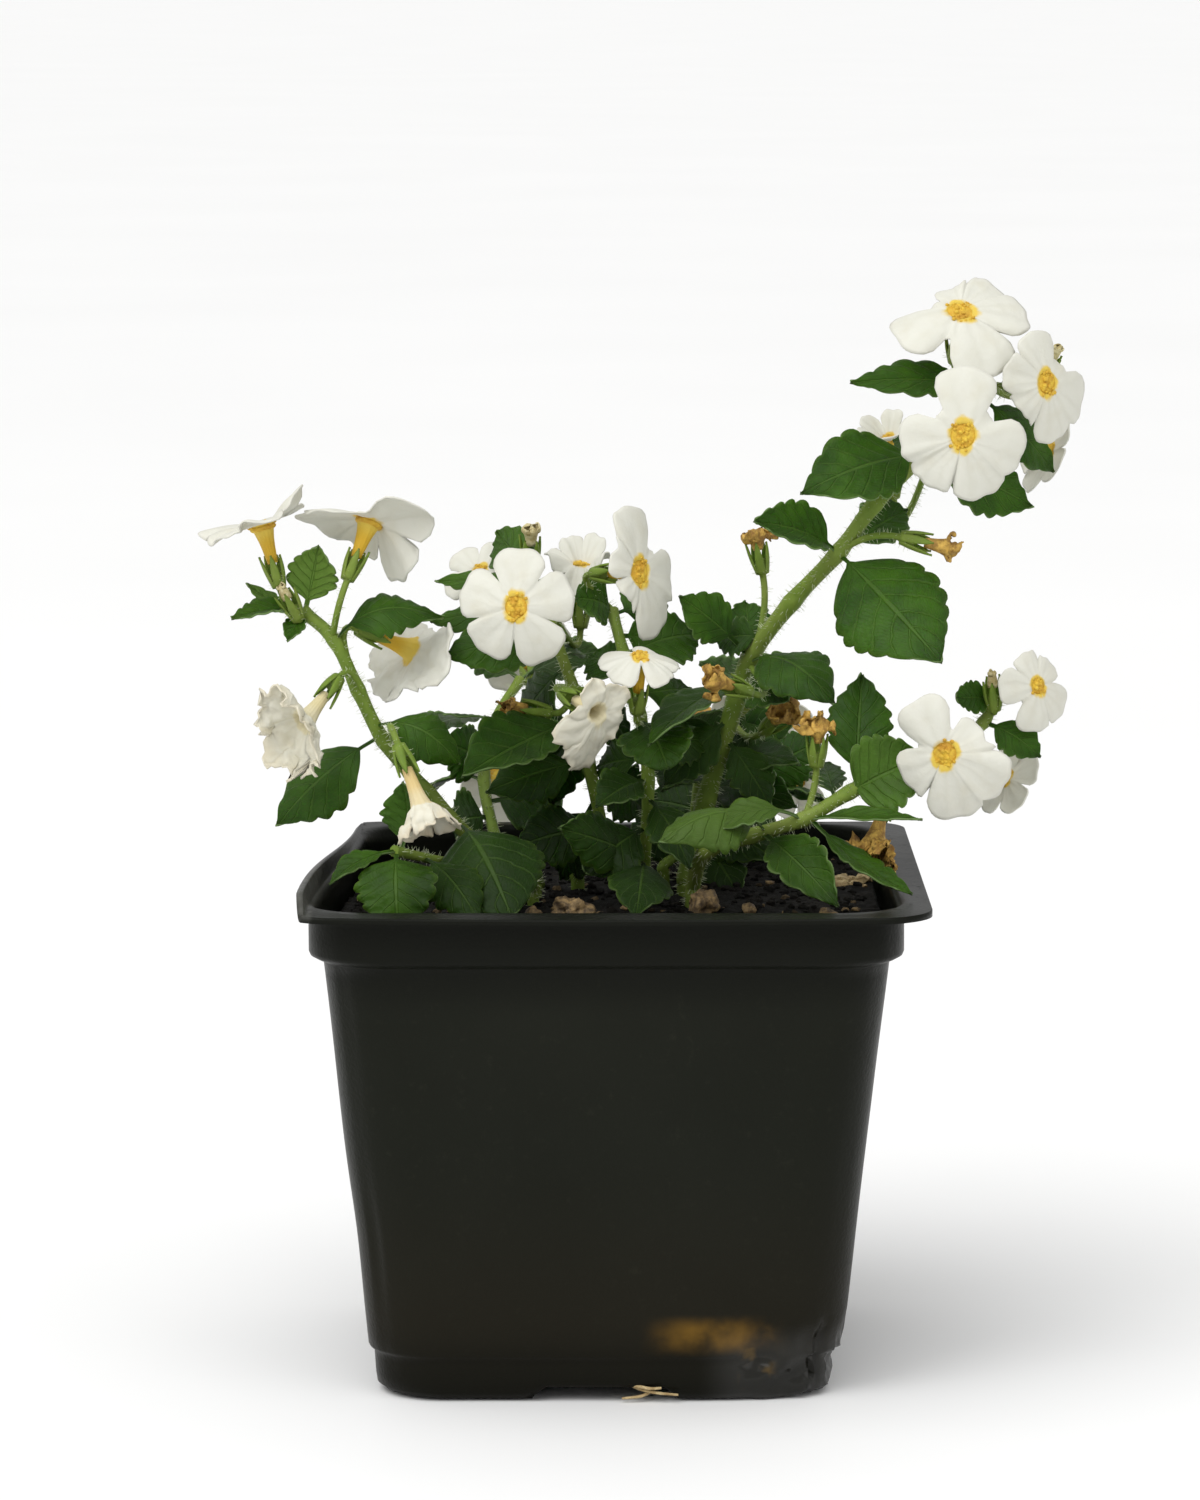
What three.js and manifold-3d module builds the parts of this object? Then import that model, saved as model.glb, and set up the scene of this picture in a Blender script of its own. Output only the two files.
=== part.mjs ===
// Potted bacopa: a sprawling bedding plant with small white five-lobed flowers in a square black nursery pot.
// Millimetres, +Z up, +Y towards the back. The origin is on the table, under the middle of the pot.

import * as THREE from "three";
import { mergeVertices } from "three/addons/utils/BufferGeometryUtils.js";
import Module from "manifold-3d";

const wasm = await Module();
wasm.setup();

// Driving dimensions of the pot, a 4.5 inch square one, and of the soil in it.
const pot = {
  rimWidth: 114.3, // across the flat flange
  bandWidth: 105, // across the band under the flange
  bodyTop: 100.2,
  bodyFoot: 85,
  footWidth: 82.4,
  height: 90,
  bandDepth: 9,
  bandStep: 1.6,
  footHeight: 8.6,
  footStep: 1,
  footRound: 3.4,
  wall: 1.3,
  flangeThick: 1.2,
  rimCorner: 9,
  bodyCorner: 13,
  footCorner: 12,
  channelWide: 24, // the raised drainage channels under the floor
  channelHigh: 2.8,
  drainRadius: 4.5,
  padRadius: 9, // the flat round pad under the middle of the floor
  curlAngle: 78, // the left flange stands up, bent
  sideDent: 6.5, // how far the soft left wall leans in at the back
};
const soil = { top: 84, floorGap: 0.3, wallGap: 0.35, bump: 0.9, holeDepth: 9, holeGap: 0.4 };
const leafThick = 0.62;
const petalThick = 0.62;
const seatGap = 0.3;

// Sizes that every flower shares.
const bloom = {
  tube: 7.2,
  calyx: 6.2, // height of the sepal tips
  calyxSeat: 3.9, // where the tube stands in the calyx
  tubeFoot: 0.85,
  stalk: 0.64, // radius of a pedicel
  throat: 0.115, // throat radius as a share of the flower's width
  dimple: 2.2,
};

// The plant's places are read off a front view: pixels across and down, and mm of depth behind the pot's middle.
const view = { eye: new THREE.Vector3(-0.9, -1079, 257.4), pitch: 7.7, focal: 5981, middle: [600, 750] };

const materials = {
  pot: new THREE.MeshStandardMaterial({ color: 0x1f201c, roughness: 0.45, metalness: 0 }),
  soil: new THREE.MeshStandardMaterial({ color: 0x2a211a, roughness: 0.95, metalness: 0 }),
  leaf: new THREE.MeshStandardMaterial({ color: 0x3f6b22, roughness: 0.6, metalness: 0 }),
  petal: new THREE.MeshStandardMaterial({ color: 0xe9e8de, roughness: 0.55, metalness: 0 }),
  dry: new THREE.MeshStandardMaterial({ color: 0xb07a2c, roughness: 0.85, metalness: 0 }),
  bark: new THREE.MeshStandardMaterial({ color: 0x7a5326, roughness: 0.9, metalness: 0 }),
};

// Shoots. A shoot rises from its root on the soil [x, y in mm] and runs through its route's points.
// A leaf grows from a place along the route and ends at its tip. Its face is the way its upper side looks, as
// [degrees to the right of the viewer, degrees up]. Wide, arch and stalk are mm, mm and a share of the length.
// A flower stands on a pedicel: at is the middle of its throat, and turns, reach and bend are the clock angle of
// each lobe, its length, and the angle that it stands forward from flat.
const shoots = [
  {
    name: "shoot_left", root: [-13, 2], thick: [1.9, 1.2],
    route: [[484, 850, -8], [428, 793, -14], [384, 741, -16], [358, 690, -16], [334, 640, -14], [303, 611, -12]],
    leaves: [
      { on: 2.1, tip: [277, 825, -18], wide: 14, face: [-20, 35], arch: 2.5, fold: -10 },
      { on: 2.3, tip: [460, 764, -20], wide: 13, face: [-14, 42], arch: 6.5, fold: -22 },
      { on: 4.95, tip: [318, 547, -15], wide: 9.5, face: [-5, 5], arch: -1, fold: 14 },
      { on: 5, tip: [232, 618, -17], wide: 7, face: [-10, 68], arch: 1, fold: 16 },
      { on: 4.95, tip: [247, 583, -3], wide: 4, face: [0, 50], arch: -1.5, fold: 10 },
      { on: 4.9, tip: [287, 641, -16], wide: 4, face: [-20, 20], arch: 1, fold: 5 },
      { on: 4, tip: [443, 618, -15], wide: 11, face: [-4, 50], arch: 5.6, fold: -12 },
      { on: 0.5, tip: [511, 915, -35], wide: 23, face: [2, 40], arch: 5, fold: -12, stalk: 0.26 },
    ],
    flowers: [
      { name: "bloom_left_top", on: 5, at: [262, 524, -13], face: [-106, 74], wide: 21.5, turns: [0, 70, 128, 182, 280], reach: [1.02, 0.95, 0.95, 1.17, 1], bend: [42, 15, 5, 18, 15] },
      { name: "bloom_left_second", on: 4.05, at: [370, 520, -13], face: [134, 62], wide: 23, turns: [20, 75, 128, 200, 276], reach: [1, 1.2, 0.75, 1.08, 1.22], bend: [-10, -4, -25, -36, 24] },
      { name: "wilted_left_hanging", on: 2.8, at: [412, 650, -6], face: [118, -22], wide: 22, turns: [0, 92, 150, 205, 268], reach: [0.6, 1.12, 0.95, 1, 1.3], bend: [55, 0, -8, -8, 8], wilt: 1 },
      { name: "wilted_left_low", on: 2.3, at: [304, 722, -28], face: [-38, -36], wide: 20, turns: [0, 60, 144, 216, 288], reach: [1, 1, 1.1, 1.1, 0.85], bend: [10, -45, 40, 40, 30], wilt: 1 },
      { name: "wilted_front", on: 1.6, at: [421, 806, -37], face: [44, -60], wide: 17.5, turns: [20, 92, 164, 236, 308], reach: [1, 1.1, 1, 1.05, 1], bend: [62, 50, 50, 58, 66], wilt: 1 },
    ],
    heads: [{ name: "dried_left_top", on: 5, at: [282, 588, -16], face: [-60, 60], size: [2.6, 2.6, 3.6], pale: 1 }],
  },
  {
    name: "shoot_front_left", root: [-13, -8], thick: [1.5, 1.1],
    route: [[524, 878, -14], [454, 864, -19], [394, 851, -31]],
    leaves: [
      { on: 2, tip: [329, 884, -37], wide: 5, face: [0, 66], arch: 1.6, fold: 22 },
      { on: 1.95, tip: [398, 930, -41], wide: 14.5, face: [-4, 24], arch: 3.6, fold: -8 },
      { on: 1.5, tip: [480, 922, -38], wide: 11, face: [14, 26], arch: 3, fold: -8 },
      { on: 1.9, tip: [402, 783, -28], wide: 9.5, face: [-42, 8], arch: -1.5, fold: 26 },
    ],
    flowers: [],
    heads: [],
  },
  {
    name: "shoot_centre_left", root: [-5, 11], thick: [1.7, 1.1],
    route: [[603, 850, 6], [588, 760, 2], [574, 692, -3], [556, 640, -5], [540, 584, -3]],
    leaves: [
      { on: 3, tip: [446, 656, -14], wide: 13, face: [-4, 40], arch: 2, fold: -8 },
      { on: 1.6, tip: [462, 776, -20], wide: 14.5, face: [-16, 38], arch: 1, fold: 18 },
      { on: 1, tip: [486, 792, -4], wide: 11, face: [-10, 22], arch: 2, fold: -6 },
      { on: 0.3, tip: [516, 846, 2], wide: 12, face: [-8, 24], arch: 2, fold: -6 },
      { on: 2.2, tip: [630, 742, 10], wide: 10, face: [10, 24], arch: 1.5, fold: -6 },
      { on: 4, tip: [497, 532, 16], wide: 10, face: [-24, 24], arch: 1, fold: 10 },
      { on: 3.9, tip: [436, 581, 7], wide: 6, face: [0, 52], arch: 1, fold: 8 },
      { on: 3.5, tip: [430, 621, 2], wide: 9, face: [-8, 46], arch: 1.2, fold: -6 },
      { on: 2.6, tip: [540, 640, 26], wide: 12, face: [170, 30], arch: 2, fold: 6 },
    ],
    flowers: [
      { name: "bloom_centre_front", on: 3, at: [516, 607, -25], face: [-5, 7], wide: 21, turns: [3, 75, 147, 221, 287], reach: [1.02, 1, 1.06, 0.98, 1], bend: [-4, -6, -8, -6, -2] },
      { name: "bloom_centre_back", on: 4, at: [479, 572, 12], face: [-22, 40], wide: 14.5, turns: [20, 92, 164, 236, 308], reach: [1, 1, 1, 1, 1], bend: [6, 0, -6, 0, 4] },
      { name: "bloom_crown", on: 4, at: [582, 564, 12], face: [160, 86], wide: 18, turns: [335, 30, 100, 190, 262], reach: [0.95, 1, 0.7, 0.85, 0.85], bend: [62, 62, 40, -60, 30] },
    ],
    heads: [{ name: "dried_crown", on: 4, at: [531, 532, 1], face: [0, 70], size: [5.6, 5, 4], pale: 1 },
      { name: "dried_centre_left", on: 2, at: [506, 706, -4], face: [-80, 10], size: [4.4, 3.4, 6.4] }],
  },
  {
    name: "shoot_centre", root: [5, 3], thick: [1.6, 1.1],
    route: [[643, 868, -1], [648, 780, -5], [640, 715, -8], [624, 655, -5], [612, 610, 1]],
    leaves: [
      { on: 3, tip: [700, 634, 4], wide: 12, face: [6, 36], arch: 2, fold: -8 },
      { on: 4, tip: [576, 598, -4], wide: 10.5, face: [-8, 34], arch: 1.4, fold: 6 },
      { on: 3.9, tip: [668, 606, 12], wide: 11, face: [10, 40], arch: 1.4, fold: -4 },
      { on: 1.9, tip: [668, 768, -22], wide: 13.5, face: [6, 34], arch: 2.4, fold: -12 },
      { on: 0.15, tip: [560, 828, -17], wide: 11.5, face: [0, 26], arch: 1.2, fold: -6 },
      { on: 1, tip: [596, 806, -14], wide: 9, face: [-20, 30], arch: 1.5, fold: 8 },
      { on: 0.8, tip: [690, 868, -18], wide: 9, face: [10, 40], arch: 2, fold: -6 },
      { on: 0.1, tip: [636, 916, -34], wide: 12, face: [4, 36], arch: 2.5, fold: -8 },
    ],
    flowers: [
      { name: "bloom_centre_tall", on: 4, at: [640, 572, -14], face: [46, 6], wide: 23, turns: [357, 98, 152, 222, 296], reach: [1.05, 0.92, 1.15, 0.5, 0.62], bend: [0, -4, -4, 10, 6] },
      { name: "bloom_centre_small", on: 2.1, at: [640, 656, -21], face: [6, 66], wide: 15, turns: [20, 92, 135, 224, 278], reach: [0.72, 1, 0.95, 0.95, 1], bend: [-10, -12, -20, -20, -8] },
      { name: "wilted_centre", on: 2.2, at: [598, 713, -28], face: [34, -12], wide: 18, turns: [340, 50, 140, 178, 216], reach: [0.75, 0.78, 0.9, 1.5, 1], bend: [20, 10, -12, -14, -12], wilt: 1 },
    ],
    heads: [],
  },
  {
    name: "shoot_right_tall", root: [15, 9], thick: [2.2, 1.2],
    route: [[706, 800, 9], [736, 700, 6], [750, 658, 4], [792, 602, -2], [838, 553, -8], [874, 505, -10], [922, 455, -7], [962, 412, -6], [988, 384, -6]],
    leaves: [
      { on: 2, tip: [680, 596, -2], wide: 10, face: [-26, 40], arch: 1.6, fold: -4, stalk: 0.36 },
      { on: 2, tip: [746, 602, 14], wide: 9, face: [0, 26], arch: 1, fold: 6 },
      { on: 1.9, tip: [836, 704, -14], wide: 15, face: [8, 50], arch: 5, fold: -16 },
      { on: 1.45, tip: [648, 744, -25], wide: 9.5, face: [-30, 50], arch: 1.6, fold: 12 },
      { on: 4, tip: [941, 662, -30], wide: 21, face: [6, 16], arch: 2, fold: -6, stalk: 0.12 },
      { on: 4, tip: [755, 521, -18], wide: 11.5, face: [-8, 40], arch: 2, fold: 16 },
      { on: 4.1, tip: [908, 509, 6], wide: 10, face: [24, 34], arch: 1.2, fold: 8 },
      { on: 6, tip: [801, 493, -22], wide: 15, face: [-8, 30], arch: 3, fold: -10, stalk: 0.14 },
      { on: 6, tip: [1032, 506, -1], wide: 13, face: [16, 22], arch: 1.6, fold: -6 },
      { on: 6.2, tip: [893, 441, 2], wide: 5, face: [-20, 30], arch: 0.8, fold: 6 },
      { on: 7.9, tip: [851, 382, -16], wide: 8.6, face: [-8, 40], arch: 1.6, fold: 10 },
      { on: 7.6, tip: [1054, 472, 4], wide: 10, face: [20, 24], arch: 1.4, fold: -6 },
    ],
    flowers: [
      { name: "bloom_top", on: 8, at: [960, 311, -10], face: [4, 54], wide: 24, turns: [357, 30, 82, 159, 250], reach: [0.66, 1, 1.08, 1.17, 1.07], bend: [4, 0, -4, -12, -8] },
      { name: "bloom_top_front", on: 7, at: [963, 436, -28], face: [2, 2], wide: 23.5, turns: [4, 106, 160, 222, 262], reach: [1.05, 1, 1.02, 0.93, 0.96], bend: [0, -8, -8, -6, 4] },
      { name: "bloom_top_right", on: 8, at: [1047, 383, -14], face: [34, 6], wide: 21, turns: [348, 112, 165, 228, 285], reach: [0.92, 1.1, 1.06, 0.7, 0.85], bend: [2, -10, -8, -2, 0] },
      { name: "bloom_top_behind", on: 7.3, at: [1050, 452, 13], face: [112, -22], wide: 17, turns: [30, 102, 174, 246, 318], reach: [1, 1, 1, 1, 1], bend: [0, 0, 0, 0, 0] },
      { name: "bloom_top_left_behind", on: 6.3, at: [888, 438, 12], face: [-20, 72], wide: 14, turns: [0, 72, 144, 216, 288], reach: [1, 1, 1, 1, 1], bend: [58, 50, 40, 40, 50] },
    ],
    heads: [
      { name: "dried_tall_left", on: 2.1, at: [756, 537, 6], face: [-60, 78], size: [5.6, 3.6, 3.8] },
      { name: "dried_tall_right", on: 4, at: [950, 548, -13], face: [88, -12], size: [5, 4, 7.6] },
      { name: "dried_tall_low", on: 1.9, at: [716, 680, -15], face: [-52, 20], size: [5.4, 4, 6.4] },
      { name: "bud_top", on: 8, at: [1058, 349, 4], face: [48, 52], size: [2.8, 2.8, 4], pale: 1 },
    ],
  },
  {
    name: "shoot_right_low", root: [16, -4], thick: [1.8, 1.1],
    route: [[706, 852, -13], [752, 836, -18], [804, 819, -23], [850, 792, -22], [905, 764, -17], [955, 742, -12], [984, 722, -11], [992, 700, -11]],
    leaves: [
      { on: 2, tip: [706, 832, -29], wide: 7.5, face: [-6, 60], arch: 3.6, fold: -10, stalk: 0.28 },
      { on: 1.3, tip: [660, 842, -32], wide: 16, face: [-16, 56], arch: 5.5, fold: -24 },
      { on: 2, tip: [922, 819, -33], wide: 4.4, face: [0, 66], arch: 0.8, fold: 8 },
      { on: 3, tip: [918, 760, -24], wide: 15, face: [-6, 20], arch: 1.5, fold: 6, stalk: 0.1 },
      { on: 3.1, tip: [862, 675, -12], wide: 12, face: [-4, 12], arch: 1.5, fold: 8 },
      { on: 2.7, tip: [822, 762, -2], wide: 6.4, face: [0, 36], arch: 1, fold: 0 },
      { on: 1.2, tip: [838, 906, -38], wide: 10.5, face: [-10, 34], arch: 2.6, fold: 14 },
      { on: 2.1, tip: [912, 893, -39], wide: 6.4, face: [30, 50], arch: -1.5, fold: 20 },
      { on: 7, tip: [957, 698, -14], wide: 6.4, face: [-12, 26], arch: 0.8, fold: 8 },
      { on: 6, tip: [1041, 757, -14], wide: 8, face: [4, 34], arch: 1.8, fold: -8 },
    ],
    flowers: [
      { name: "bloom_right_front", on: 4.6, at: [945, 754, -33], face: [-10, -2], wide: 22, turns: [57, 115, 171, 238, 330], reach: [0.7, 1.12, 1.14, 0.85, 1], bend: [-12, -8, -8, -6, 4] },
      { name: "bloom_right_end", on: 7, at: [1038, 686, -15], face: [30, 6], wide: 15.4, turns: [342, 42, 125, 182, 275], reach: [0.85, 0.75, 1.12, 1.1, 1], bend: [0, -8, -10, -6, -2] },
      { name: "bloom_right_behind", on: 6, at: [1006, 778, 2], face: [128, -26], wide: 15, turns: [10, 82, 154, 226, 298], reach: [1, 1, 1, 1, 1], bend: [16, 10, 12, 16, 20] },
    ],
    heads: [
      { name: "dried_right_node", on: 2, at: [818, 727, -22], face: [16, 84], size: [6, 3.6, 4.6] },
      { name: "dried_rim", on: 3.5, at: [872, 852, -25], face: [-30, -60], size: [8, 5, 12.5] },
      { name: "bud_right", on: 7, at: [992, 675, -14], face: [-20, 76], size: [2.6, 2.6, 3.6], pale: 1 },
    ],
  },
  {
    name: "shoot_mid_right", root: [11, 20], thick: [1.4, 1],
    route: [[690, 840, 24], [700, 780, 26], [722, 735, 24], [752, 700, 20]],
    leaves: [
      { on: 2, tip: [690, 716, 0], wide: 9.5, face: [-20, 30], arch: 1.2, fold: 14 },
      { on: 1.4, tip: [800, 764, 0], wide: 10, face: [14, 36], arch: 2, fold: -8 },
      { on: 0.9, tip: [796, 806, 8], wide: 11, face: [20, 26], arch: 2, fold: -6 },
      { on: 1, tip: [662, 790, 10], wide: 10, face: [-20, 30], arch: 1.6, fold: 6 },
      { on: 0.4, tip: [776, 860, 14], wide: 12, face: [14, 30], arch: 2, fold: -6 },
      { on: 3, tip: [800, 660, 24], wide: 10, face: [160, 30], arch: 1, fold: 8 },
    ],
    flowers: [],
    heads: [{ name: "dried_mid_right", on: 2.4, at: [784, 713, 2], face: [30, 30], size: [5.6, 4.4, 6] }],
  },
  {
    name: "shoot_back_left", root: [-16, 17], thick: [1.6, 1],
    route: [[500, 850, 28], [484, 780, 38], [496, 720, 50], [520, 680, 60]],
    leaves: [
      { on: 3, tip: [600, 650, 66], wide: 11, face: [170, 40], arch: 2, fold: -6 },
      { on: 3, tip: [466, 650, 58], wide: 9, face: [-150, 40], arch: 1.6, fold: 6 },
      { on: 2, tip: [420, 730, 62], wide: 12, face: [-140, 36], arch: 2, fold: -6 },
      { on: 2, tip: [576, 740, 58], wide: 11, face: [170, 30], arch: 2, fold: -6 },
      { on: 1, tip: [420, 800, 52], wide: 13, face: [-130, 40], arch: 3, fold: -10 },
    ],
    flowers: [
      { name: "bloom_back_left", on: 3, at: [522, 646, 72], face: [-168, 30], wide: 20, turns: [12, 84, 156, 228, 300], reach: [1, 1, 1, 1, 1], bend: [-4, -6, -8, -4, 0] },
      { name: "bloom_back_left_low", on: 2, at: [496, 776, 74], face: [-150, 10], wide: 19, turns: [40, 112, 184, 256, 328], reach: [1, 0.95, 1.05, 1, 1], bend: [0, -6, -8, -4, 2] },
    ],
    heads: [],
  },
  {
    name: "shoot_back_right", root: [17, 20], thick: [1.6, 1],
    route: [[700, 850, 30], [740, 800, 42], [764, 752, 54], [770, 705, 62]],
    leaves: [
      { on: 3, tip: [700, 664, 68], wide: 11, face: [-170, 40], arch: 2, fold: -6 },
      { on: 3, tip: [816, 660, 58], wide: 9, face: [150, 40], arch: 1.6, fold: 6 },
      { on: 2, tip: [820, 780, 66], wide: 12, face: [140, 36], arch: 2, fold: -6 },
      { on: 2, tip: [680, 740, 62], wide: 12, face: [-170, 30], arch: 2, fold: -6 },
      { on: 1, tip: [826, 800, 52], wide: 13, face: [130, 44], arch: 3, fold: -10 },
      { on: 0.9, tip: [668, 812, 50], wide: 13, face: [-172, 40], arch: 3, fold: -8 },
    ],
    flowers: [
      { name: "bloom_back_right", on: 3, at: [762, 704, 76], face: [172, 24], wide: 20.5, turns: [30, 102, 174, 246, 318], reach: [1, 1, 1, 1.05, 1], bend: [-2, -6, -8, -4, 0] },
      { name: "bloom_back_right_low", on: 2, at: [798, 774, 72], face: [138, 12], wide: 19, turns: [0, 72, 144, 216, 288], reach: [1, 1, 1, 1, 0.95], bend: [0, -4, -8, -6, 2] },
    ],
    heads: [{ name: "dried_back", on: 1.6, at: [700, 716, 78], face: [-160, 40], size: [5, 4, 6] }],
  },
];

// Bark and clay bits that lie half sunk in the soil: place in mm, size in mm.
const bits = [
  { name: "bit_left", at: [-5.9, -20], size: [4.4, 3.4, 3.2] },
  { name: "bit_left_small", at: [-12.8, -22], size: [2.2, 1.8, 1.8] },
  { name: "bit_right", at: [17.8, -13], size: [4.4, 3.4, 3.4] },
  { name: "bit_right_small", at: [26, -14], size: [1.8, 1.4, 1.2] },
  { name: "bit_corner", at: [40, -22], size: [3, 2.4, 1.8] },
  { name: "bit_back", at: [-30, 30], size: [2.8, 2.4, 2] },
];

// Where a point seen at a pixel, at a depth behind the middle of the pot, is.
function place([across, down, depth]) {
  const tilt = THREE.MathUtils.degToRad(view.pitch);
  const right = (across - view.middle[0]) / view.focal;
  const up = (view.middle[1] - down) / view.focal;
  const forward = Math.cos(tilt) + up * Math.sin(tilt);
  const reach = (depth - view.eye.y) / forward;
  return new THREE.Vector3(
    view.eye.x + right * reach,
    depth,
    view.eye.z + (up * Math.cos(tilt) - Math.sin(tilt)) * reach,
  );
}

// The direction that is so many degrees to the right of the viewer and so many up.
function facing([azimuth, elevation]) {
  const a = THREE.MathUtils.degToRad(azimuth);
  const e = THREE.MathUtils.degToRad(elevation);
  return new THREE.Vector3(Math.sin(a) * Math.cos(e), -Math.cos(a) * Math.cos(e), Math.sin(e));
}

// The part of a direction that is square to an axis, at length 1.
function squareTo(direction, axis) {
  return direction.clone().addScaledVector(axis, -direction.dot(axis)).normalize();
}

// A repeatable random number from 0 to 1 for each whole number.
function chance(seed) {
  const wave = Math.sin(seed * 12.9898 + 4.1414) * 43758.5453;
  return wave - Math.floor(wave);
}

// A closed body from rings of points. The next ring has as many points, twice or half as many, or one, a pole.
function loft(rings) {
  const faces = [];
  let start = 0;
  for (let r = 0; r + 1 < rings.length; r++) {
    const low = rings[r].length;
    const high = rings[r + 1].length;
    const next = start + low;
    const around = Math.max(low, high);
    const lowAt = (i) => start + (Math.floor((i * low) / around) % low);
    const highAt = (i) => next + (Math.floor((i * high) / around) % high);
    for (let i = 0; i < around; i++) {
      const j = i + 1;
      if (lowAt(i) !== lowAt(j)) faces.push(lowAt(i), lowAt(j), highAt(i));
      if (highAt(i) !== highAt(j)) faces.push(lowAt(j), highAt(j), highAt(i));
    }
    start = next;
  }
  return geometryOf(rings.flat(), faces);
}

function geometryOf(points, faces) {
  const flat = new Float32Array(points.flatMap((p) => [p.x, p.y, p.z]));
  return new THREE.BufferGeometry().setAttribute("position", new THREE.BufferAttribute(flat, 3)).setIndex(faces);
}

// A thin closed blade. Both faces are split into triangles alike. front and back give a point for a row and column.
function blade(rows, columns, front, back) {
  const points = [];
  const at = (face, r, c) => (face * rows + r) * columns + c;
  for (const side of [front, back])
    for (let r = 0; r < rows; r++) for (let c = 0; c < columns; c++) points.push(side(r, c));
  const faces = [];
  const quad = (a, b, c, d) => faces.push(a, b, c, a, c, d);
  for (let r = 0; r + 1 < rows; r++)
    for (let c = 0; c + 1 < columns; c++) {
      quad(at(0, r, c), at(0, r, c + 1), at(0, r + 1, c + 1), at(0, r + 1, c));
      faces.push(at(1, r, c), at(1, r + 1, c + 1), at(1, r, c + 1));
      faces.push(at(1, r, c), at(1, r + 1, c), at(1, r + 1, c + 1));
    }
  const last = columns - 1;
  for (let r = 0; r + 1 < rows; r++) {
    quad(at(0, r, 0), at(0, r + 1, 0), at(1, r + 1, 0), at(1, r, 0));
    quad(at(0, r + 1, last), at(0, r, last), at(1, r, last), at(1, r + 1, last));
  }
  for (let c = 0; c < last; c++) {
    quad(at(0, 0, c + 1), at(0, 0, c), at(1, 0, c), at(1, 0, c + 1));
    quad(at(0, rows - 1, c), at(0, rows - 1, c + 1), at(1, rows - 1, c + 1), at(1, rows - 1, c));
  }
  return geometryOf(points, faces);
}

// A solid from a closed geometry, turned the right way out.
function solidOf(geometry) {
  const merged = mergeVertices(geometry, 1e-4);
  const make = (triVerts) =>
    new wasm.Manifold(new wasm.Mesh({ numProp: 3, vertProperties: merged.attributes.position.array, triVerts }));
  const made = make(new Uint32Array(merged.index.array));
  if (made.volume() > 0) return made;
  const turned = new Uint32Array(merged.index.array);
  for (let i = 0; i < turned.length; i += 3) [turned[i], turned[i + 1]] = [turned[i + 1], turned[i]];
  return make(turned);
}

// Joins pieces into one body. Sealed hollows and loose scraps are left out.
function fuse(solids) {
  const joined = solids.reduce((all, piece) => all.add(piece));
  return joined.decompose().reduce((a, b) => (b.volume() > a.volume() ? b : a));
}

function meshOf(name, solid, material) {
  const made = solid.getMesh();
  const points = new THREE.BufferAttribute(Float32Array.from(made.vertProperties), 3);
  const geometry = new THREE.BufferGeometry().setAttribute("position", points);
  geometry.setIndex(new THREE.BufferAttribute(Uint32Array.from(made.triVerts), 1));
  geometry.computeVertexNormals();
  const mesh = new THREE.Mesh(geometry, material);
  mesh.name = name;
  return mesh;
}

// A round stem along a curve, thicker at its start than at its end.
function stemSolid(curve, thickness, steps, sides) {
  const frames = curve.computeFrenetFrames(steps, false);
  const rings = [];
  for (let i = 0; i <= steps; i++) {
    const middle = curve.getPoint(i / steps);
    const radius = THREE.MathUtils.lerp(thickness[0], thickness[1], i / steps) / 2;
    const ring = [];
    for (let k = 0; k < sides; k++) {
      const turn = (2 * Math.PI * k) / sides;
      ring.push(
        middle
          .clone()
          .addScaledVector(frames.normals[i], radius * Math.cos(turn))
          .addScaledVector(frames.binormals[i], radius * Math.sin(turn)),
      );
    }
    rings.push(ring);
  }
  rings.unshift([curve.getPoint(0)]);
  rings.push([curve.getPoint(1)]);
  return solidOf(loft(rings));
}

// The shoot's own curve: straight up out of the soil, then through the route. on counts the route's points.
function shootCurve(shoot) {
  const [x, y] = shoot.root;
  const foot = [-soil.holeDepth + 1, 1.2, 3.2].map((up) => new THREE.Vector3(x, y, soil.top + up));
  const points = [...foot, ...shoot.route.map(place)];
  const curve = new THREE.CatmullRomCurve3(points, false, "catmullrom", 0.5);
  const pointOn = (on) => curve.getPoint((on + foot.length) / (points.length - 1));
  return { curve, pointOn, count: points.length };
}

// Half the width of a leaf at a share of its length: a narrow stalk, then an oval blade.
function leafHalf(leaf, share) {
  const stalk = leaf.stalk ?? 0.18;
  const neck = 0.45;
  if (share <= stalk) return neck;
  const along = (share - stalk) / (1 - stalk);
  return Math.max(neck, (leaf.wide / 2) * Math.sin(Math.PI * along ** 0.82) ** 0.7);
}

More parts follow.
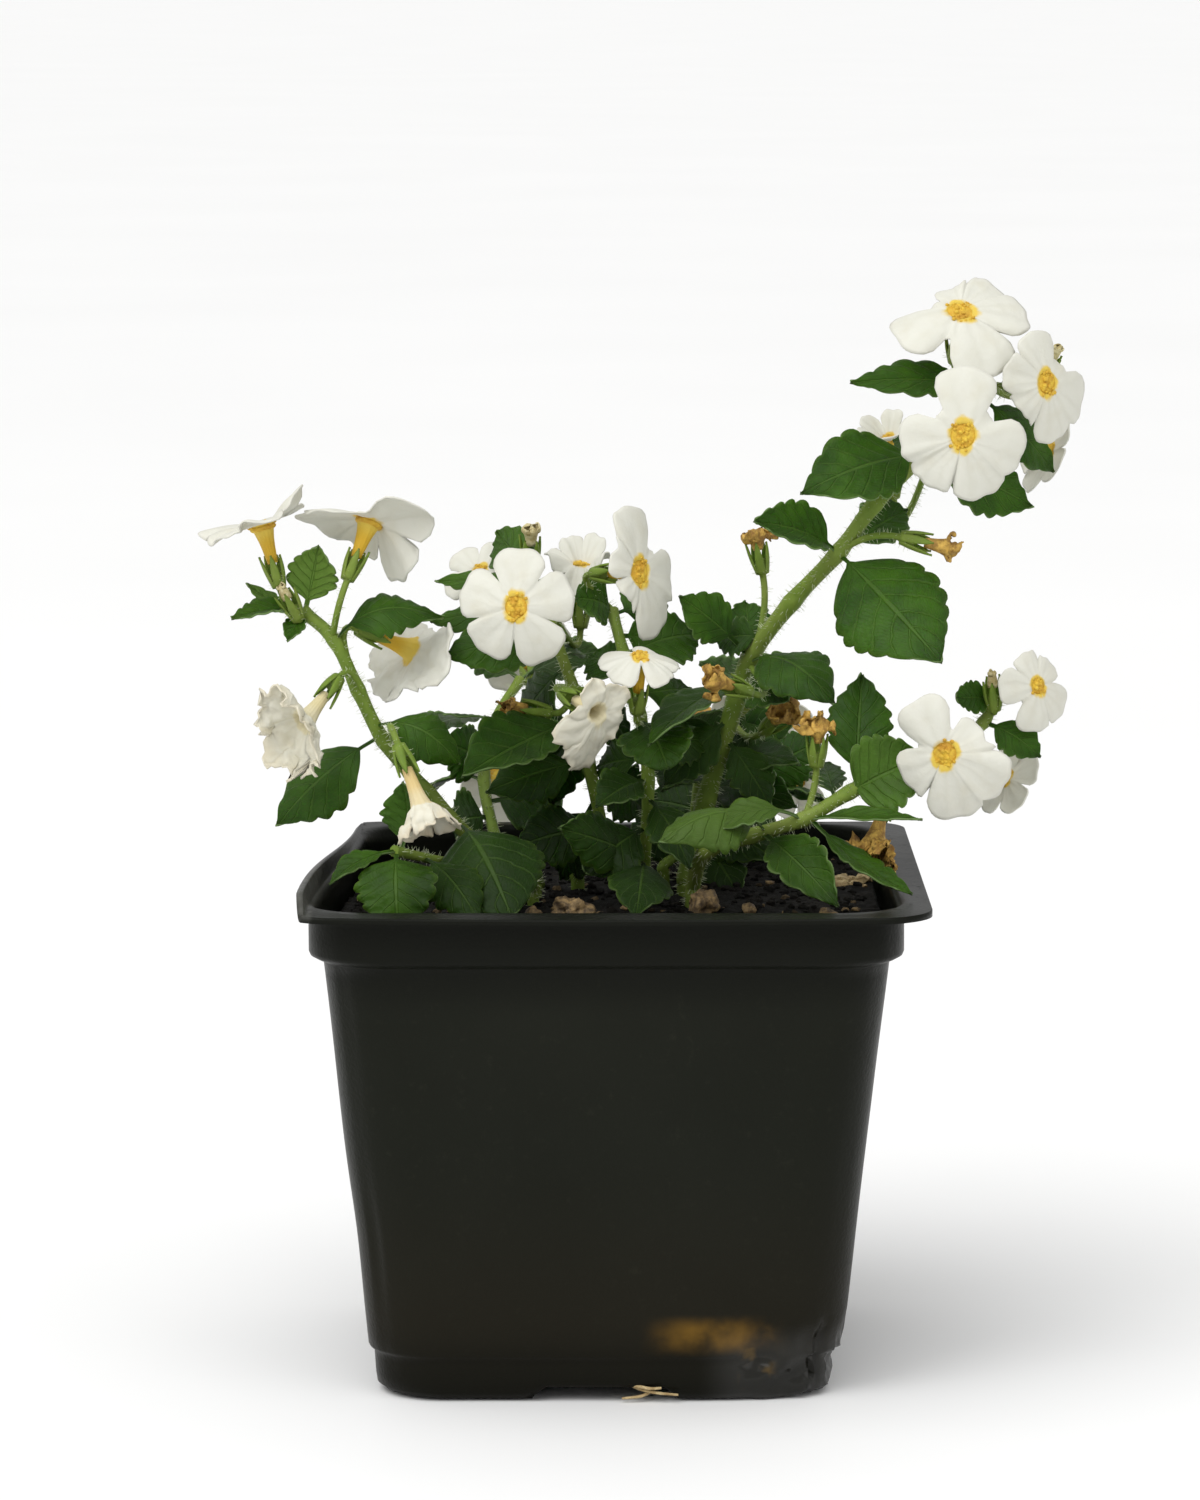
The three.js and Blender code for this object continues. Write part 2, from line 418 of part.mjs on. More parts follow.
// A leaf with a toothed edge, arched along its rib and folded across it.
function leafSolid(leaf, base) {
  const tip = place(leaf.tip);
  const along = tip.clone().sub(base).normalize();
  const length = tip.distanceTo(base);
  const up = squareTo(facing(leaf.face), along);
  const side = along.clone().cross(up);
  const fold = THREE.MathUtils.degToRad(leaf.fold);
  const stalk = leaf.stalk ?? 0.18;
  const teeth = leaf.wide > 14.2 ? 3 : leaf.wide > 6.9 ? 2 : 1;
  const columns = leaf.wide > 6.9 ? 3 : 2;
  const middleColumn = (columns - 1) / 2;
  const stalked = leaf.stalk || leaf.wide > 13;
  const shares = stalked ? [0, stalk] : [0];
  for (let k = 1; k <= 2 * teeth; k++) shares.push(stalk + ((1 - stalk) * k) / (2 * teeth + 0.35));
  shares.push(1);
  const bladePoint = (face) => (row, column) => {
    const share = shares[row];
    const tooth = row < 2 || row === shares.length - 1 ? 1 : row % 2 ? 0.92 : 1.05;
    const half = leafHalf(leaf, share) * tooth * (column / middleColumn - 1);
    const middle = base.clone().addScaledVector(along, length * share);
    middle.addScaledVector(up, leaf.arch * 4 * share * (1 - share));
    const rise = (leaf.arch * 4 * (1 - 2 * share)) / length;
    const tangent = along.clone().addScaledVector(up, rise).normalize();
    const normal = side.clone().cross(tangent);
    middle.addScaledVector(side, half * Math.cos(fold));
    middle.addScaledVector(normal, Math.abs(half) * Math.sin(fold));
    return middle.addScaledVector(normal, face * (leafThick / 2));
  };
  return solidOf(blade(shares.length, columns, bladePoint(1), bladePoint(-1)));
}

// The axes of a flower: the way it looks, up across its face, and right across its face.
function flowerAxes(face) {
  const axis = facing(face);
  const above = Math.abs(axis.z) > 0.97 ? new THREE.Vector3(0, 1, 0) : new THREE.Vector3(0, 0, 1);
  const up = squareTo(above, axis);
  return { axis, up, right: up.clone().cross(axis) };
}

// A point so far from the flower's axis, at a clock angle, and so far forward.
function clockPoint(centre, axes, angle, radius, forward) {
  return centre
    .clone()
    .addScaledVector(axes.up, radius * Math.cos(angle))
    .addScaledVector(axes.right, radius * Math.sin(angle))
    .addScaledVector(axes.axis, forward);
}

// Where a flower's calyx starts, behind its throat.
function calyxFoot(centre, axes) {
  return centre.clone().addScaledVector(axes.axis, -(bloom.tube + bloom.calyxSeat + seatGap));
}

// The pedicel from the shoot and the cup of five pointed sepals on it.
function calyxSolid(from, foot, axes) {
  const sides = 5;
  const bow = foot.clone().addScaledVector(axes.axis, -0.5 * from.distanceTo(foot));
  const curve = new THREE.QuadraticBezierCurve3(from, bow, foot.clone().addScaledVector(axes.axis, -0.8));
  const frames = curve.computeFrenetFrames(2, false);
  const first = frames.normals[0];
  const last = frames.normals[2];
  const lastSide = frames.binormals[2];
  const start = Math.atan2(last.dot(axes.right), last.dot(axes.up));
  const turnWay = lastSide.dot(clockPoint(new THREE.Vector3(), axes, start + Math.PI / 2, 1, 0)) > 0 ? 1 : -1;
  const stalk = [0, 1, 2].map((i) =>
    Array.from({ length: sides }, (_, k) => {
      const turn = (2 * Math.PI * k) / sides;
      const middle = curve.getPoint(i / 2);
      return middle
        .addScaledVector(frames.normals[i], bloom.stalk * Math.cos(turn))
        .addScaledVector(frames.binormals[i], bloom.stalk * Math.sin(turn));
    }),
  );
  const ring = (radius, forward) =>
    Array.from({ length: 2 * sides }, (_, k) =>
      clockPoint(foot, axes, start + (turnWay * Math.PI * k) / sides, radius(k), forward(k)),
    );
  const isTip = (k) => k % 2 === 0;
  return solidOf(
    loft([
      [from.clone().addScaledVector(first, 0.01)],
      ...stalk,
      ring(() => 1.5, () => 1.6),
      ring((k) => (isTip(k) ? 2.5 : 1.75), (k) => (isTip(k) ? bloom.calyx : 2.9)),
      [clockPoint(foot, axes, 0, 0, 2.3)],
    ]),
  );
}

// A corolla: a funnel tube and five lobes round a sunk throat.
function corollaSolid(flower) {
  const axes = flowerAxes(flower.face);
  const centre = place(flower.at);
  const radius = flower.wide / 2;
  const throat = flower.wide * bloom.throat;
  const lobe = [[-36, 0.52], [-24, 0.93], [0, 1], [24, 0.93]];
  const gapAfter = (k) => (flower.turns[(k + 1) % 5] - flower.turns[k % 5] + 360) % 360;
  const samples = [];
  for (let k = 0; k < 5; k++)
    for (const [turn, share] of lobe) {
      const before = (k + 4) % 5;
      const between = turn === -36;
      const gap = turn < 0 ? gapAfter(before) : gapAfter(k);
      const widen = between ? gap / 72 : Math.min(1.1, gap / 72);
      const cleft = THREE.MathUtils.lerp(0.82, share, THREE.MathUtils.smoothstep(gap, 52, 78));
      const reach = between ? (flower.reach[k] + flower.reach[before]) / 2 : flower.reach[k];
      const bend = between ? (flower.bend[k] + flower.bend[before]) / 2 : flower.bend[k];
      samples.push({
        angle: THREE.MathUtils.degToRad(flower.turns[k] + turn * widen),
        length: Math.max(0.4, radius * (between ? cleft : share) * reach - throat),
        bend: THREE.MathUtils.degToRad(bend),
      });
    }
  const ring = (step, radiusOf, forwardOf) =>
    samples.filter((_, k) => k % step === 0).map((s) => clockPoint(centre, axes, s.angle, radiusOf(s), forwardOf(s)));
  const thick = petalThick;
  return solidOf(
    loft([
      [clockPoint(centre, axes, 0, 0, -bloom.dimple)],
      ring(2, () => throat, () => 0),
      ring(1, (s) => throat + s.length * Math.cos(s.bend), (s) => s.length * Math.sin(s.bend)),
      ring(
        1,
        (s) => throat + s.length * Math.cos(s.bend) + thick * Math.sin(s.bend),
        (s) => s.length * Math.sin(s.bend) - thick * Math.cos(s.bend),
      ),
      ring(2, () => throat + 0.35, () => -thick - 0.5),
      ring(4, () => bloom.tubeFoot, () => -bloom.tube),
      [clockPoint(centre, axes, 0, 0, -bloom.tube)],
    ]),
  );
}

// A dried flower: a thin tube that widens to a crumpled cup with its lobes folded in.
function driedSolid(foot, axes, size, seed) {
  const sides = 6;
  const [width, depth, length] = size;
  const ring = (share, forward, rough) =>
    Array.from({ length: sides }, (_, k) => {
      const angle = (2 * Math.PI * k) / sides;
      const swell = share * (1 + rough * (2 * chance(seed * 31 + k + 10 * forward) - 1));
      return foot
        .clone()
        .addScaledVector(axes.right, (swell * width * Math.sin(angle)) / 2)
        .addScaledVector(axes.up, (swell * depth * Math.cos(angle)) / 2)
        .addScaledVector(axes.axis, forward * (1 + 0.12 * rough * (2 * chance(seed + k) - 1)));
    });
  const neck = (2 * bloom.tubeFoot) / Math.max(width, depth);
  return solidOf(
    loft([
      [foot],
      ring(neck, 0, 0),
      ring(neck * 1.3, 2.3, 0),
      ring(1, 2.3 + (length - 2.3) * 0.62, 0.3),
      ring(0.42, length, 0.5),
      [foot.clone().addScaledVector(axes.axis, length - 1.3)],
    ]),
  );
}

// A rough bit of bark or clay.
function bitSolid(bit, index, grow) {
  const geometry = new THREE.IcosahedronGeometry(1, 0);
  const spots = mergeVertices(geometry.deleteAttribute("normal").deleteAttribute("uv"), 1e-3);
  const points = [];
  for (let i = 0; i < spots.attributes.position.count; i++) {
    const spot = new THREE.Vector3().fromBufferAttribute(spots.attributes.position, i);
    spot.multiplyScalar(1 + 0.35 * (chance(index * 31 + i) - 0.5));
    const half = bit.size.map((s) => s * 0.8 + grow);
    spot.set(spot.x * half[0], spot.y * half[1], spot.z * half[2]);
    spot.applyAxisAngle(new THREE.Vector3(0, 0, 1), 0.7 * index);
    points.push(spot.add(new THREE.Vector3(bit.at[0], bit.at[1], soil.top + bit.size[2] * 0.3)));
  }
  return solidOf(geometryOf(points, Array.from(spots.index.array)));
}

// A square ring with round corners at one height. lean moves each point, for the bent rim.
const cornerPoints = 4;
function squareRing(width, corner, height, lean = (p) => p) {
  const points = [];
  const inner = width / 2 - corner;
  for (let q = 0; q < 4; q++) {
    for (let k = 0; k < cornerPoints; k++) {
      const angle = (Math.PI / 2) * (q + k / (cornerPoints - 1));
      const middle = (Math.PI / 2) * (q + 0.5);
      points.push(
        new THREE.Vector3(
          Math.SQRT2 * inner * Math.cos(middle) + corner * Math.cos(angle),
          Math.SQRT2 * inner * Math.sin(middle) + corner * Math.sin(angle),
          height,
        ),
      );
    }
    const side = (Math.PI / 2) * (q + 1);
    points.push(new THREE.Vector3((width / 2) * Math.cos(side), (width / 2) * Math.sin(side), height));
  }
  return points.map(lean);
}

// The soft left wall leans in, more towards the back and towards the rim.
function leanIn(point) {
  const left = THREE.MathUtils.smoothstep(-point.x, 0.2 * pot.rimWidth, 0.45 * pot.rimWidth);
  const back = THREE.MathUtils.smoothstep(point.y, -0.45 * pot.rimWidth, 0.5 * pot.rimWidth);
  const high = THREE.MathUtils.smoothstep(point.z, 0.4 * pot.height, pot.height);
  point.x += left * back * high * pot.sideDent;
  return point;
}

// The flange: flat round three sides, and curled up along the left one.
function curlUp(point) {
  const standing = -pot.bandWidth / 2 - 0.5;
  const over = Math.max(0, standing - point.x);
  const share = THREE.MathUtils.smoothstep(point.y, -0.5 * pot.rimWidth, -0.44 * pot.rimWidth);
  const sag = THREE.MathUtils.lerp(1, 0.2, THREE.MathUtils.smoothstep(point.y, -0.3 * pot.rimWidth, 0.5 * pot.rimWidth));
  point.x += over * (1 - Math.cos(THREE.MathUtils.degToRad(pot.curlAngle)));
  point.z += over * share * sag * Math.sin(THREE.MathUtils.degToRad(pot.curlAngle));
  return leanIn(point);
}

function potShell(inset) {
  const w = (width) => width - 2 * inset;
  const c = (corner) => corner - inset / 2;
  const bandLow = pot.height - pot.bandDepth;
  const floor = inset;
  const up = (height) => Math.max(height, floor);
  return [
    squareRing(w(pot.footWidth) - 2 * pot.footRound, c(pot.footCorner), floor),
    squareRing(w(pot.footWidth), c(pot.footCorner), up(pot.footRound + inset)),
    squareRing(w(pot.footWidth + 0.6), c(pot.footCorner), pot.footHeight - pot.footStep),
    squareRing(w(pot.bodyFoot), c(pot.footCorner), pot.footHeight),
    squareRing(w(pot.bodyTop), c(pot.bodyCorner), bandLow - pot.bandStep, leanIn),
    squareRing(w(pot.bandWidth), c(pot.bodyCorner), bandLow, leanIn),
  ];
}

// The pot: a thin moulded shell with a stepped band, a flange, four feet and drain holes.
function potSolid() {
  const floorCentre = (height) => [new THREE.Vector3(0, 0, height)];
  const over = 12;
  const outside = solidOf(
    loft([
      floorCentre(0),
      ...potShell(0),
      squareRing(pot.bandWidth, pot.bodyCorner, pot.height - pot.flangeThick, leanIn),
      squareRing(pot.rimWidth, pot.rimCorner, pot.height - pot.flangeThick, curlUp),
      squareRing(pot.rimWidth, pot.rimCorner, pot.height, curlUp),
      squareRing(pot.bandWidth - 0.6, pot.bodyCorner, pot.height, leanIn),
      floorCentre(pot.height),
    ]),
  );
  const cavity = solidOf(
    loft([
      floorCentre(pot.wall),
      ...potShell(pot.wall),
      squareRing(pot.bandWidth - 2 * pot.wall, pot.bodyCorner, pot.height + over, leanIn),
      floorCentre(pot.height + over),
    ]),
  );
  const channel = (width, height, along) => {
    const low = new THREE.BoxGeometry(along ? pot.rimWidth : width, along ? width : pot.rimWidth, 2 * height);
    return solidOf(low.deleteAttribute("normal").deleteAttribute("uv"));
  };
  const drill = (radius, x, y) => {
    const round = new THREE.CylinderGeometry(radius, radius, 4 * pot.channelHigh, 10);
    return solidOf(round.deleteAttribute("normal").deleteAttribute("uv").rotateX(Math.PI / 2).translate(x, y, 0));
  };
  let shell = outside;
  let inside = cavity;
  for (const along of [true, false]) {
    shell = shell.subtract(channel(pot.channelWide, pot.channelHigh, along).subtract(drill(pot.padRadius, 0, 0)));
    inside = inside.subtract(
      channel(pot.channelWide + 2 * pot.wall, pot.channelHigh + pot.wall, along),
    );
  }
  shell = shell.subtract(inside);
  const drainAt = pot.footWidth / 2 - pot.drainRadius - 3;
  for (const [x, y] of [[drainAt, 0], [-drainAt, 0], [0, drainAt], [0, -drainAt]])
    shell = shell.subtract(drill(pot.drainRadius, x, y));
  return fuse([shell]);
}

// The soil fills the pot and has a rough top with holes for the stems and hollows for the bits.
function soilSolid(bitSolids) {
  const gap = pot.wall + soil.wallGap;
  const w = (width) => width - 2 * gap;
  const c = (corner) => corner - gap / 2;
  const low = pot.wall + pot.channelHigh + pot.wall + soil.floorGap;
  const top = w(pot.bandWidth) - 0.8;
  const rough = (seed) => (point, i) => {
    point.z += soil.bump * (2 * chance(seed + i) - 1);
    return point;
  };
  const rings = [
    [new THREE.Vector3(0, 0, low)],
    squareRing(w(pot.footWidth), c(pot.footCorner), low),
    squareRing(w(pot.footWidth), c(pot.footCorner), pot.footHeight - pot.footStep),
    squareRing(w(pot.bodyTop) - 0.6, c(pot.bodyCorner), pot.height - pot.bandDepth - pot.bandStep - 1.5, leanIn),
    squareRing(top - 4, c(pot.bodyCorner), soil.top, leanIn),
  ];
  [0.74, 0.4].forEach((share, k) =>
    rings.push(squareRing(top * share, c(pot.bodyCorner) * share, soil.top, leanIn).map(rough(100 * k))),
  );
  rings.push([new THREE.Vector3(0, 0, soil.top + soil.bump)]);
  let body = solidOf(loft(rings));
  for (const shoot of shoots) {
    const radius = shoot.thick[0] / 2 + soil.holeGap;
    const drill = new THREE.CylinderGeometry(radius, radius, 2 * soil.holeDepth, 6);
    drill.deleteAttribute("normal").deleteAttribute("uv").rotateX(Math.PI / 2);
    drill.translate(shoot.root[0], shoot.root[1], soil.top);
    body = body.subtract(solidOf(drill));
  }
  for (const bit of bitSolids) body = body.subtract(bit);
  return fuse([body]);
}

// One shoot with its leaves, pedicels and calyxes, and the flowers and dried heads that it carries.
function buildShoot(group, shoot) {
  const { curve, pointOn, count } = shootCurve(shoot);
  const green = [stemSolid(curve, shoot.thick, Math.round(1.15 * count), 5)];
  for (const leaf of shoot.leaves) green.push(leafSolid(leaf, pointOn(leaf.on)));
  for (const flower of shoot.flowers) {
    const axes = flowerAxes(flower.face);
    const foot = calyxFoot(place(flower.at), axes);
    green.push(calyxSolid(pointOn(flower.on), foot, axes));
    group.add(meshOf(flower.name, corollaSolid(flower), materials.petal));
  }
  shoot.heads.forEach((head, k) => {
    const axes = flowerAxes(head.face);
    const end = place(head.at).addScaledVector(axes.axis, -head.size[2] * 0.6);
    const foot = end.clone().addScaledVector(axes.axis, -(bloom.calyxSeat + seatGap));
    green.push(calyxSolid(pointOn(head.on), foot, axes));
    group.add(meshOf(head.name, driedSolid(end, axes, head.size, 7 * k + shoot.name.length), materials.dry));
  });
  group.add(meshOf(shoot.name, fuse(green), materials.leaf));
}

const plant = new THREE.Group();
plant.add(meshOf("pot", potSolid(), materials.pot));
plant.add(meshOf("soil", soilSolid(bits.map((bit, k) => bitSolid(bit, k, seatGap))), materials.soil));
bits.forEach((bit, k) => plant.add(meshOf(bit.name, bitSolid(bit, k, 0), materials.bark)));
for (const shoot of shoots) buildShoot(plant, shoot);

export default plant;
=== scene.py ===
import math
import random

import bmesh
import bpy
from mathutils import Matrix, Vector, noise


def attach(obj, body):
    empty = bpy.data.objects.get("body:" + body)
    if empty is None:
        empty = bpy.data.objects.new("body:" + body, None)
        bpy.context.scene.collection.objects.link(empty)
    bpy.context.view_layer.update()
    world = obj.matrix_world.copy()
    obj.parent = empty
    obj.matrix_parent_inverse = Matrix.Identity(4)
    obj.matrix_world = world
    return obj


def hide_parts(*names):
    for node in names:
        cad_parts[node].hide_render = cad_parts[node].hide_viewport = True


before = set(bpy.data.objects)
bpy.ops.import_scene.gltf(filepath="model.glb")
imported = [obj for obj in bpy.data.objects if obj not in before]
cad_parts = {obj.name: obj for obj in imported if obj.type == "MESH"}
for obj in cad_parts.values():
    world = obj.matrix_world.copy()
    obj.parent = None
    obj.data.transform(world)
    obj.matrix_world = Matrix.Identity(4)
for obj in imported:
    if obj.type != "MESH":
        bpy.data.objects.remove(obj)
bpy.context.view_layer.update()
crumpleStart = 3  # a fixed start, so that the crumpled shapes come out the same each time
noise.seed_set(crumpleStart)
mm = 0.001  # shapes are worked in millimetres and scaled when their mesh is made
scene = bpy.context.scene

# The plant is laid out on a front view: pixels across and down, and depth behind the pot's middle.
cameraSetup = {
    "eye": (-0.9, -1079, 257.4),
    "pitch": 7.7,
    "focal": 5981,
    "middle": (600, 750),
    "longSide": 1500,
    "sensor": 36,
}

potSize = {
    "rimWidth": 114.3,
    "bandWidth": 105,
    "bodyTop": 100.2,
    "bodyFoot": 85,
    "footWidth": 82.4,
    "height": 90,
    "bandDepth": 9,
    "bandStep": 1.6,
    "footHeight": 8.6,
    "footStep": 1,
    "footRound": 3.4,
    "wall": 1.1,
    "flangeThick": 1.1,
    "rimCorner": 9,
    "bodyCorner": 13,
    "footCorner": 12,
    "channelWide": 24,
    "channelHigh": 2.8,
    "padRadius": 9,
    "drainRadius": 3.2,
    "curlAngle": 78,
    "sideDent": 6.5,
}
soilTop = 84
stemRoot = -8  # the stems start this far under the soil's top

flowerForm = {
    "tube": 7.2,
    "calyx": 5.6,
    "calyxSeat": 3.9,
    "seatGap": 0.3,
    "tubeFoot": 0.85,
    "throat": 0.1,
    "stalk": 0.62,
    "petalThick": 0.3,
}


def place(across, down, depth):
    tilt = math.radians(cameraSetup["pitch"])
    right = (across - cameraSetup["middle"][0]) / cameraSetup["focal"]
    up = (cameraSetup["middle"][1] - down) / cameraSetup["focal"]
    eye = cameraSetup["eye"]
    reach = (depth - eye[1]) / (math.cos(tilt) + up * math.sin(tilt))
    height = eye[2] + (up * math.cos(tilt) - math.sin(tilt)) * reach
    return Vector((eye[0] + right * reach, depth, height))


def facing(azimuth, elevation):
    a, e = math.radians(azimuth), math.radians(elevation)
    return Vector((math.sin(a) * math.cos(e), -math.cos(a) * math.cos(e), math.sin(e)))


def squareTo(direction, axis):
    return (direction - axis * direction.dot(axis)).normalized()


def smoothStep(low, high, value):
    t = min(1, max(0, (value - low) / (high - low)))
    return t * t * (3 - 2 * t)


def blend(a, b, share):
    return a + (b - a) * share


class Number:
    # wraps a shader socket, so that maths on it adds Math nodes
    def __init__(self, look, socket):
        self.look, self.socket = look, socket

    def maths(self, operation, first, second=0.0):
        return self.look.node("Math", {"operation": operation}, {0: first, 1: second})

    def __add__(self, other):
        return self.maths("ADD", self, other)

    def __sub__(self, other):
        return self.maths("SUBTRACT", self, other)

    def __rsub__(self, other):
        return self.maths("SUBTRACT", other, self)

    def __mul__(self, other):
        return self.maths("MULTIPLY", self, other)

    def __mod__(self, other):
        return self.maths("FLOORED_MODULO", self, other)

    def __abs__(self):
        return self.maths("ABSOLUTE", self)

    __radd__, __rmul__ = __add__, __mul__


class Look:
    # one material, built from its nodes
    def __init__(self, name, **settings):
        self.material = bpy.data.materials.new(name)
        self.material.use_nodes = True
        self.tree = self.material.node_tree
        self.shader = self.tree.nodes["Principled BSDF"]
        for key, value in settings.items():
            self.shader.inputs[key].default_value = value

    def feed(self, socket, value):
        if isinstance(value, Number):
            self.tree.links.new(value.socket, socket)
        elif isinstance(value, tuple) and len(value) == 3 and socket.type == "RGBA":
            socket.default_value = (*value, 1)
        else:
            socket.default_value = value

    def node(self, kind, settings=None, values=None, output=0):
        made = self.tree.nodes.new("ShaderNode" + kind)
        for name, value in (settings or {}).items():
            setattr(made, name, value)
        for name, value in (values or {}).items():
            self.feed(made.inputs[name], value)
        return Number(self, made.outputs[output])

    def mix(self, first, second, share):
        return self.node("Mix", {"data_type": "RGBA"}, {0: share, 6: first, 7: second}, 2)

    def between(self, value, low, high):
        settings = {"interpolation_type": "SMOOTHSTEP"}
        return self.node("MapRange", settings, {"Value": value, 1: low, 2: high})

    def near(self, value, middle, reach):
        return 1 - self.between(abs(value - middle), *reach)

    def split(self, vector):
        first = self.node("SeparateXYZ", None, {0: vector})
        return [Number(self, socket) for socket in first.socket.node.outputs]

    def attribute(self, name):
        return self.node("Attribute", {"attribute_name": name}, output="Fac")

    def point(self):
        return self.node("TexCoord", output="Object")

    def noise(self, scale, detail=3, rough=0.5, output=0):
        values = {"Scale": scale, "Detail": detail, "Roughness": rough}
        values["Vector"] = self.point()
        return self.node("TexNoise", None, values, output)

    def bump(self, height, distance, strength=1.0):
        values = {"Height": height, "Distance": distance, "Strength": strength}
        return self.node("Bump", None, values)

    def finish(self, **values):
        for name, value in values.items():
            self.feed(self.shader.inputs[name.replace("_", " ")], value)
        return self.material


softGreen = {
    "Subsurface Weight": 0.1,
    "Subsurface Scale": 0.002,
    "Subsurface Radius": (0.5, 1, 0.3),
    "Specular IOR Level": 0.16,
}


# Side ribs along a blade, how far they lean to its tip, and the finer veins between them.
veinForm = {"ribs": 7.5, "lean": 0.26, "fineRibs": 23, "fineLean": 0.5}

# Painted shade: leaves are darker low down in the middle of the plant, where the pot and the
# crowded leaves shade them; heights and reach in metres.
shadeForm = {"heights": (0.092, 0.138), "middle": 0.003, "reach": (0.018, 0.046), "share": 0.75}


def makeLeafLook(name, colours, depth):
    # veins follow the leaf's own map: across it and along it
    look = Look(name, **softGreen)
    mapAcross, along, _ = look.split(look.node("UVMap", {"uv_map": "leafMap"}))
    across = abs(mapAcross * 2 - 1)
    wobble = look.noise(420, 2) * 0.05
    rib = 1 - look.between(across + wobble * 0.4, 0.035, 0.075)
    ribs = (along - across * veinForm["lean"] + wobble) * veinForm["ribs"]
    branch = abs(ribs % 1 - 0.5) * 2
    side = look.between(branch, 0.8, 0.95) * (1 - look.between(across, 0.72, 0.98))
    fineRibs = (along + across * veinForm["fineLean"] + wobble * 2) * veinForm["fineRibs"]
    mesh = look.between(abs(fineRibs % 1 - 0.5) * 2, 0.8, 1.0) * 0.35
    branches = side * 0.72 + mesh * 0.4
    veins = look.node("Math", {"operation": "MAXIMUM"}, {0: rib, 1: branches})
    # each leaf's tone is partly its own colour, lighter on young leaves, and partly painted shade,
    # low on the leaves deep inside the plant
    tone = look.attribute("tone")
    patches = look.between(look.noise(160, 4) * 0.6 + look.noise(70, 2) * 0.4, 0.36, 0.64)
    skin = look.mix(colours["dark"], colours["mid"], patches * 0.55 + tone * 0.45)
    # painted shade, darker low down near the plant's middle
    right, _, height = look.split(look.point())
    low = 1 - look.between(height, *shadeForm["heights"])
    inner = look.near(right, shadeForm["middle"], shadeForm["reach"])
    skin = look.mix(skin, colours["shaded"], low * inner * shadeForm["share"])
    skin = look.mix(skin, colours["young"], look.between(tone, 0.5, 1.0) * 0.85)
    edge = look.between(across, 0.86, 1.0) * look.noise(700, 2)
    skin = look.mix(skin, colours["edge"], edge * 0.7)
    skin = look.mix(skin, colours["vein"], veins * colours["veinShare"])
    relief = look.noise(1500, 2) * 0.3 + look.noise(330, 2) * 0.9 - veins * depth
    gloss = look.noise(900, 2) * 0.18 + 0.4
    return look.finish(Base_Color=skin, Roughness=gloss, Normal=look.bump(relief, 0.00035))


def makeStemLook():
    look = Look("stemGreen", **softGreen)
    streak = look.noise(520, 4)
    flush = look.between(look.noise(60, 2), 0.4, 0.75)
    skin = look.mix((0.08, 0.14, 0.014), (0.19, 0.27, 0.042), streak)
    skin = look.mix(skin, (0.25, 0.28, 0.075), flush * 0.5)
    return look.finish(
        Base_Color=skin,
        Roughness=streak * 0.2 + 0.42,
        Normal=look.bump(streak, 0.0003),
    )


softPetal = {
    "Subsurface Weight": 0.12,
    "Subsurface Scale": 0.002,
    "Subsurface Radius": (1, 1, 0.9),
    "Specular IOR Level": 0.3,
}


lobeTurn = 1.2566  # the angle from one lobe to the next


def makePetalLook(name, colours):
    look = Look(name, **softPetal)
    out = look.attribute("out")
    turn = look.attribute("turn")
    stripe = abs((turn * 1.5 + look.noise(130, 2) * 1.3) % 1 - 0.5) * 2
    folds = look.between(stripe + look.noise(330, 3), 0.7, 1.7)
    # painted shade: the petals are darker along the fold stripes
    skin = look.mix(colours["light"], colours["shade"], folds * 0.25)
    skin = look.mix(skin, colours["warm"], look.between(look.noise(240, 3), 0.45, 0.8))
    stretch = look.node("Math", {"operation": "COSINE"}, {0: turn * lobeTurn}) * 0.05
    eye = 1 - look.between(out + look.noise(620, 2) * 0.16 - stretch, 0.1, 0.2)
    skin = look.mix(skin, colours["eye"], eye * colours["eyeShare"])
    deep = 1 - look.between(out + look.noise(700, 2) * 0.12, -0.5, -0.1)
    skin = look.mix(skin, colours["deep"], deep * colours["eyeShare"])
    rim = look.between(out, 0.72, 1.0)
    skin = look.mix(skin, colours["edge"], rim * colours["edgeShare"])
    return look.finish(
        Base_Color=skin,
        Roughness=look.noise(800, 2) * 0.15 + 0.48,
        Normal=look.bump(folds * 0.3 + look.noise(500, 3) * 1.2, 0.0003, 0.5),
    )


def makeDryLook(name, dark, light, spot):
    look = Look(name)
    crumple = look.noise(650, 5, 0.65)
    skin = look.mix(dark, light, look.between(crumple, 0.35, 0.7))
    spots = look.between(look.noise(260, 3), 0.5, 0.75)
    skin = look.mix(skin, spot, spots * 0.6)
    return look.finish(
        Base_Color=skin,
        Roughness=crumple * 0.3 + 0.55,
        Normal=look.bump(crumple, 0.0006),
    )


def makeSoilLook(name, dark, light):
    look = Look(name, **{"Specular IOR Level": 0.2})
    grain = look.noise(700, 5, 0.7)
    clumps = look.between(look.noise(170, 4), 0.42, 0.7)
    tone = look.attribute("tone")
    skin = look.mix(dark, light, look.between(grain, 0.5, 0.85) * 0.6 + clumps * 0.25)
    skin = look.mix(skin, (0.16, 0.115, 0.06), look.between(tone, 0.9, 1.0))
    return look.finish(
        Base_Color=skin,
        Roughness=grain * 0.2 + 0.75,
        Normal=look.bump(grain, 0.0012),
    )


# Where light comes through the thin foot, and where its corner is crushed, in metres.
potMarks = {
    "glow": {"across": 0.0195, "wide": (0.003, 0.014), "up": 0.0125, "high": (0.0008, 0.0042)},
    "crush": {"across": 0.032, "wide": (0.008, 0.016), "high": (0.009, 0.015)},
    "lightSpecks": {"across": 0.027, "wide": (0.001, 0.004)},
    "rimEdge": {"across": (-0.0515, -0.0505), "high": (0.0885, 0.091)},
}


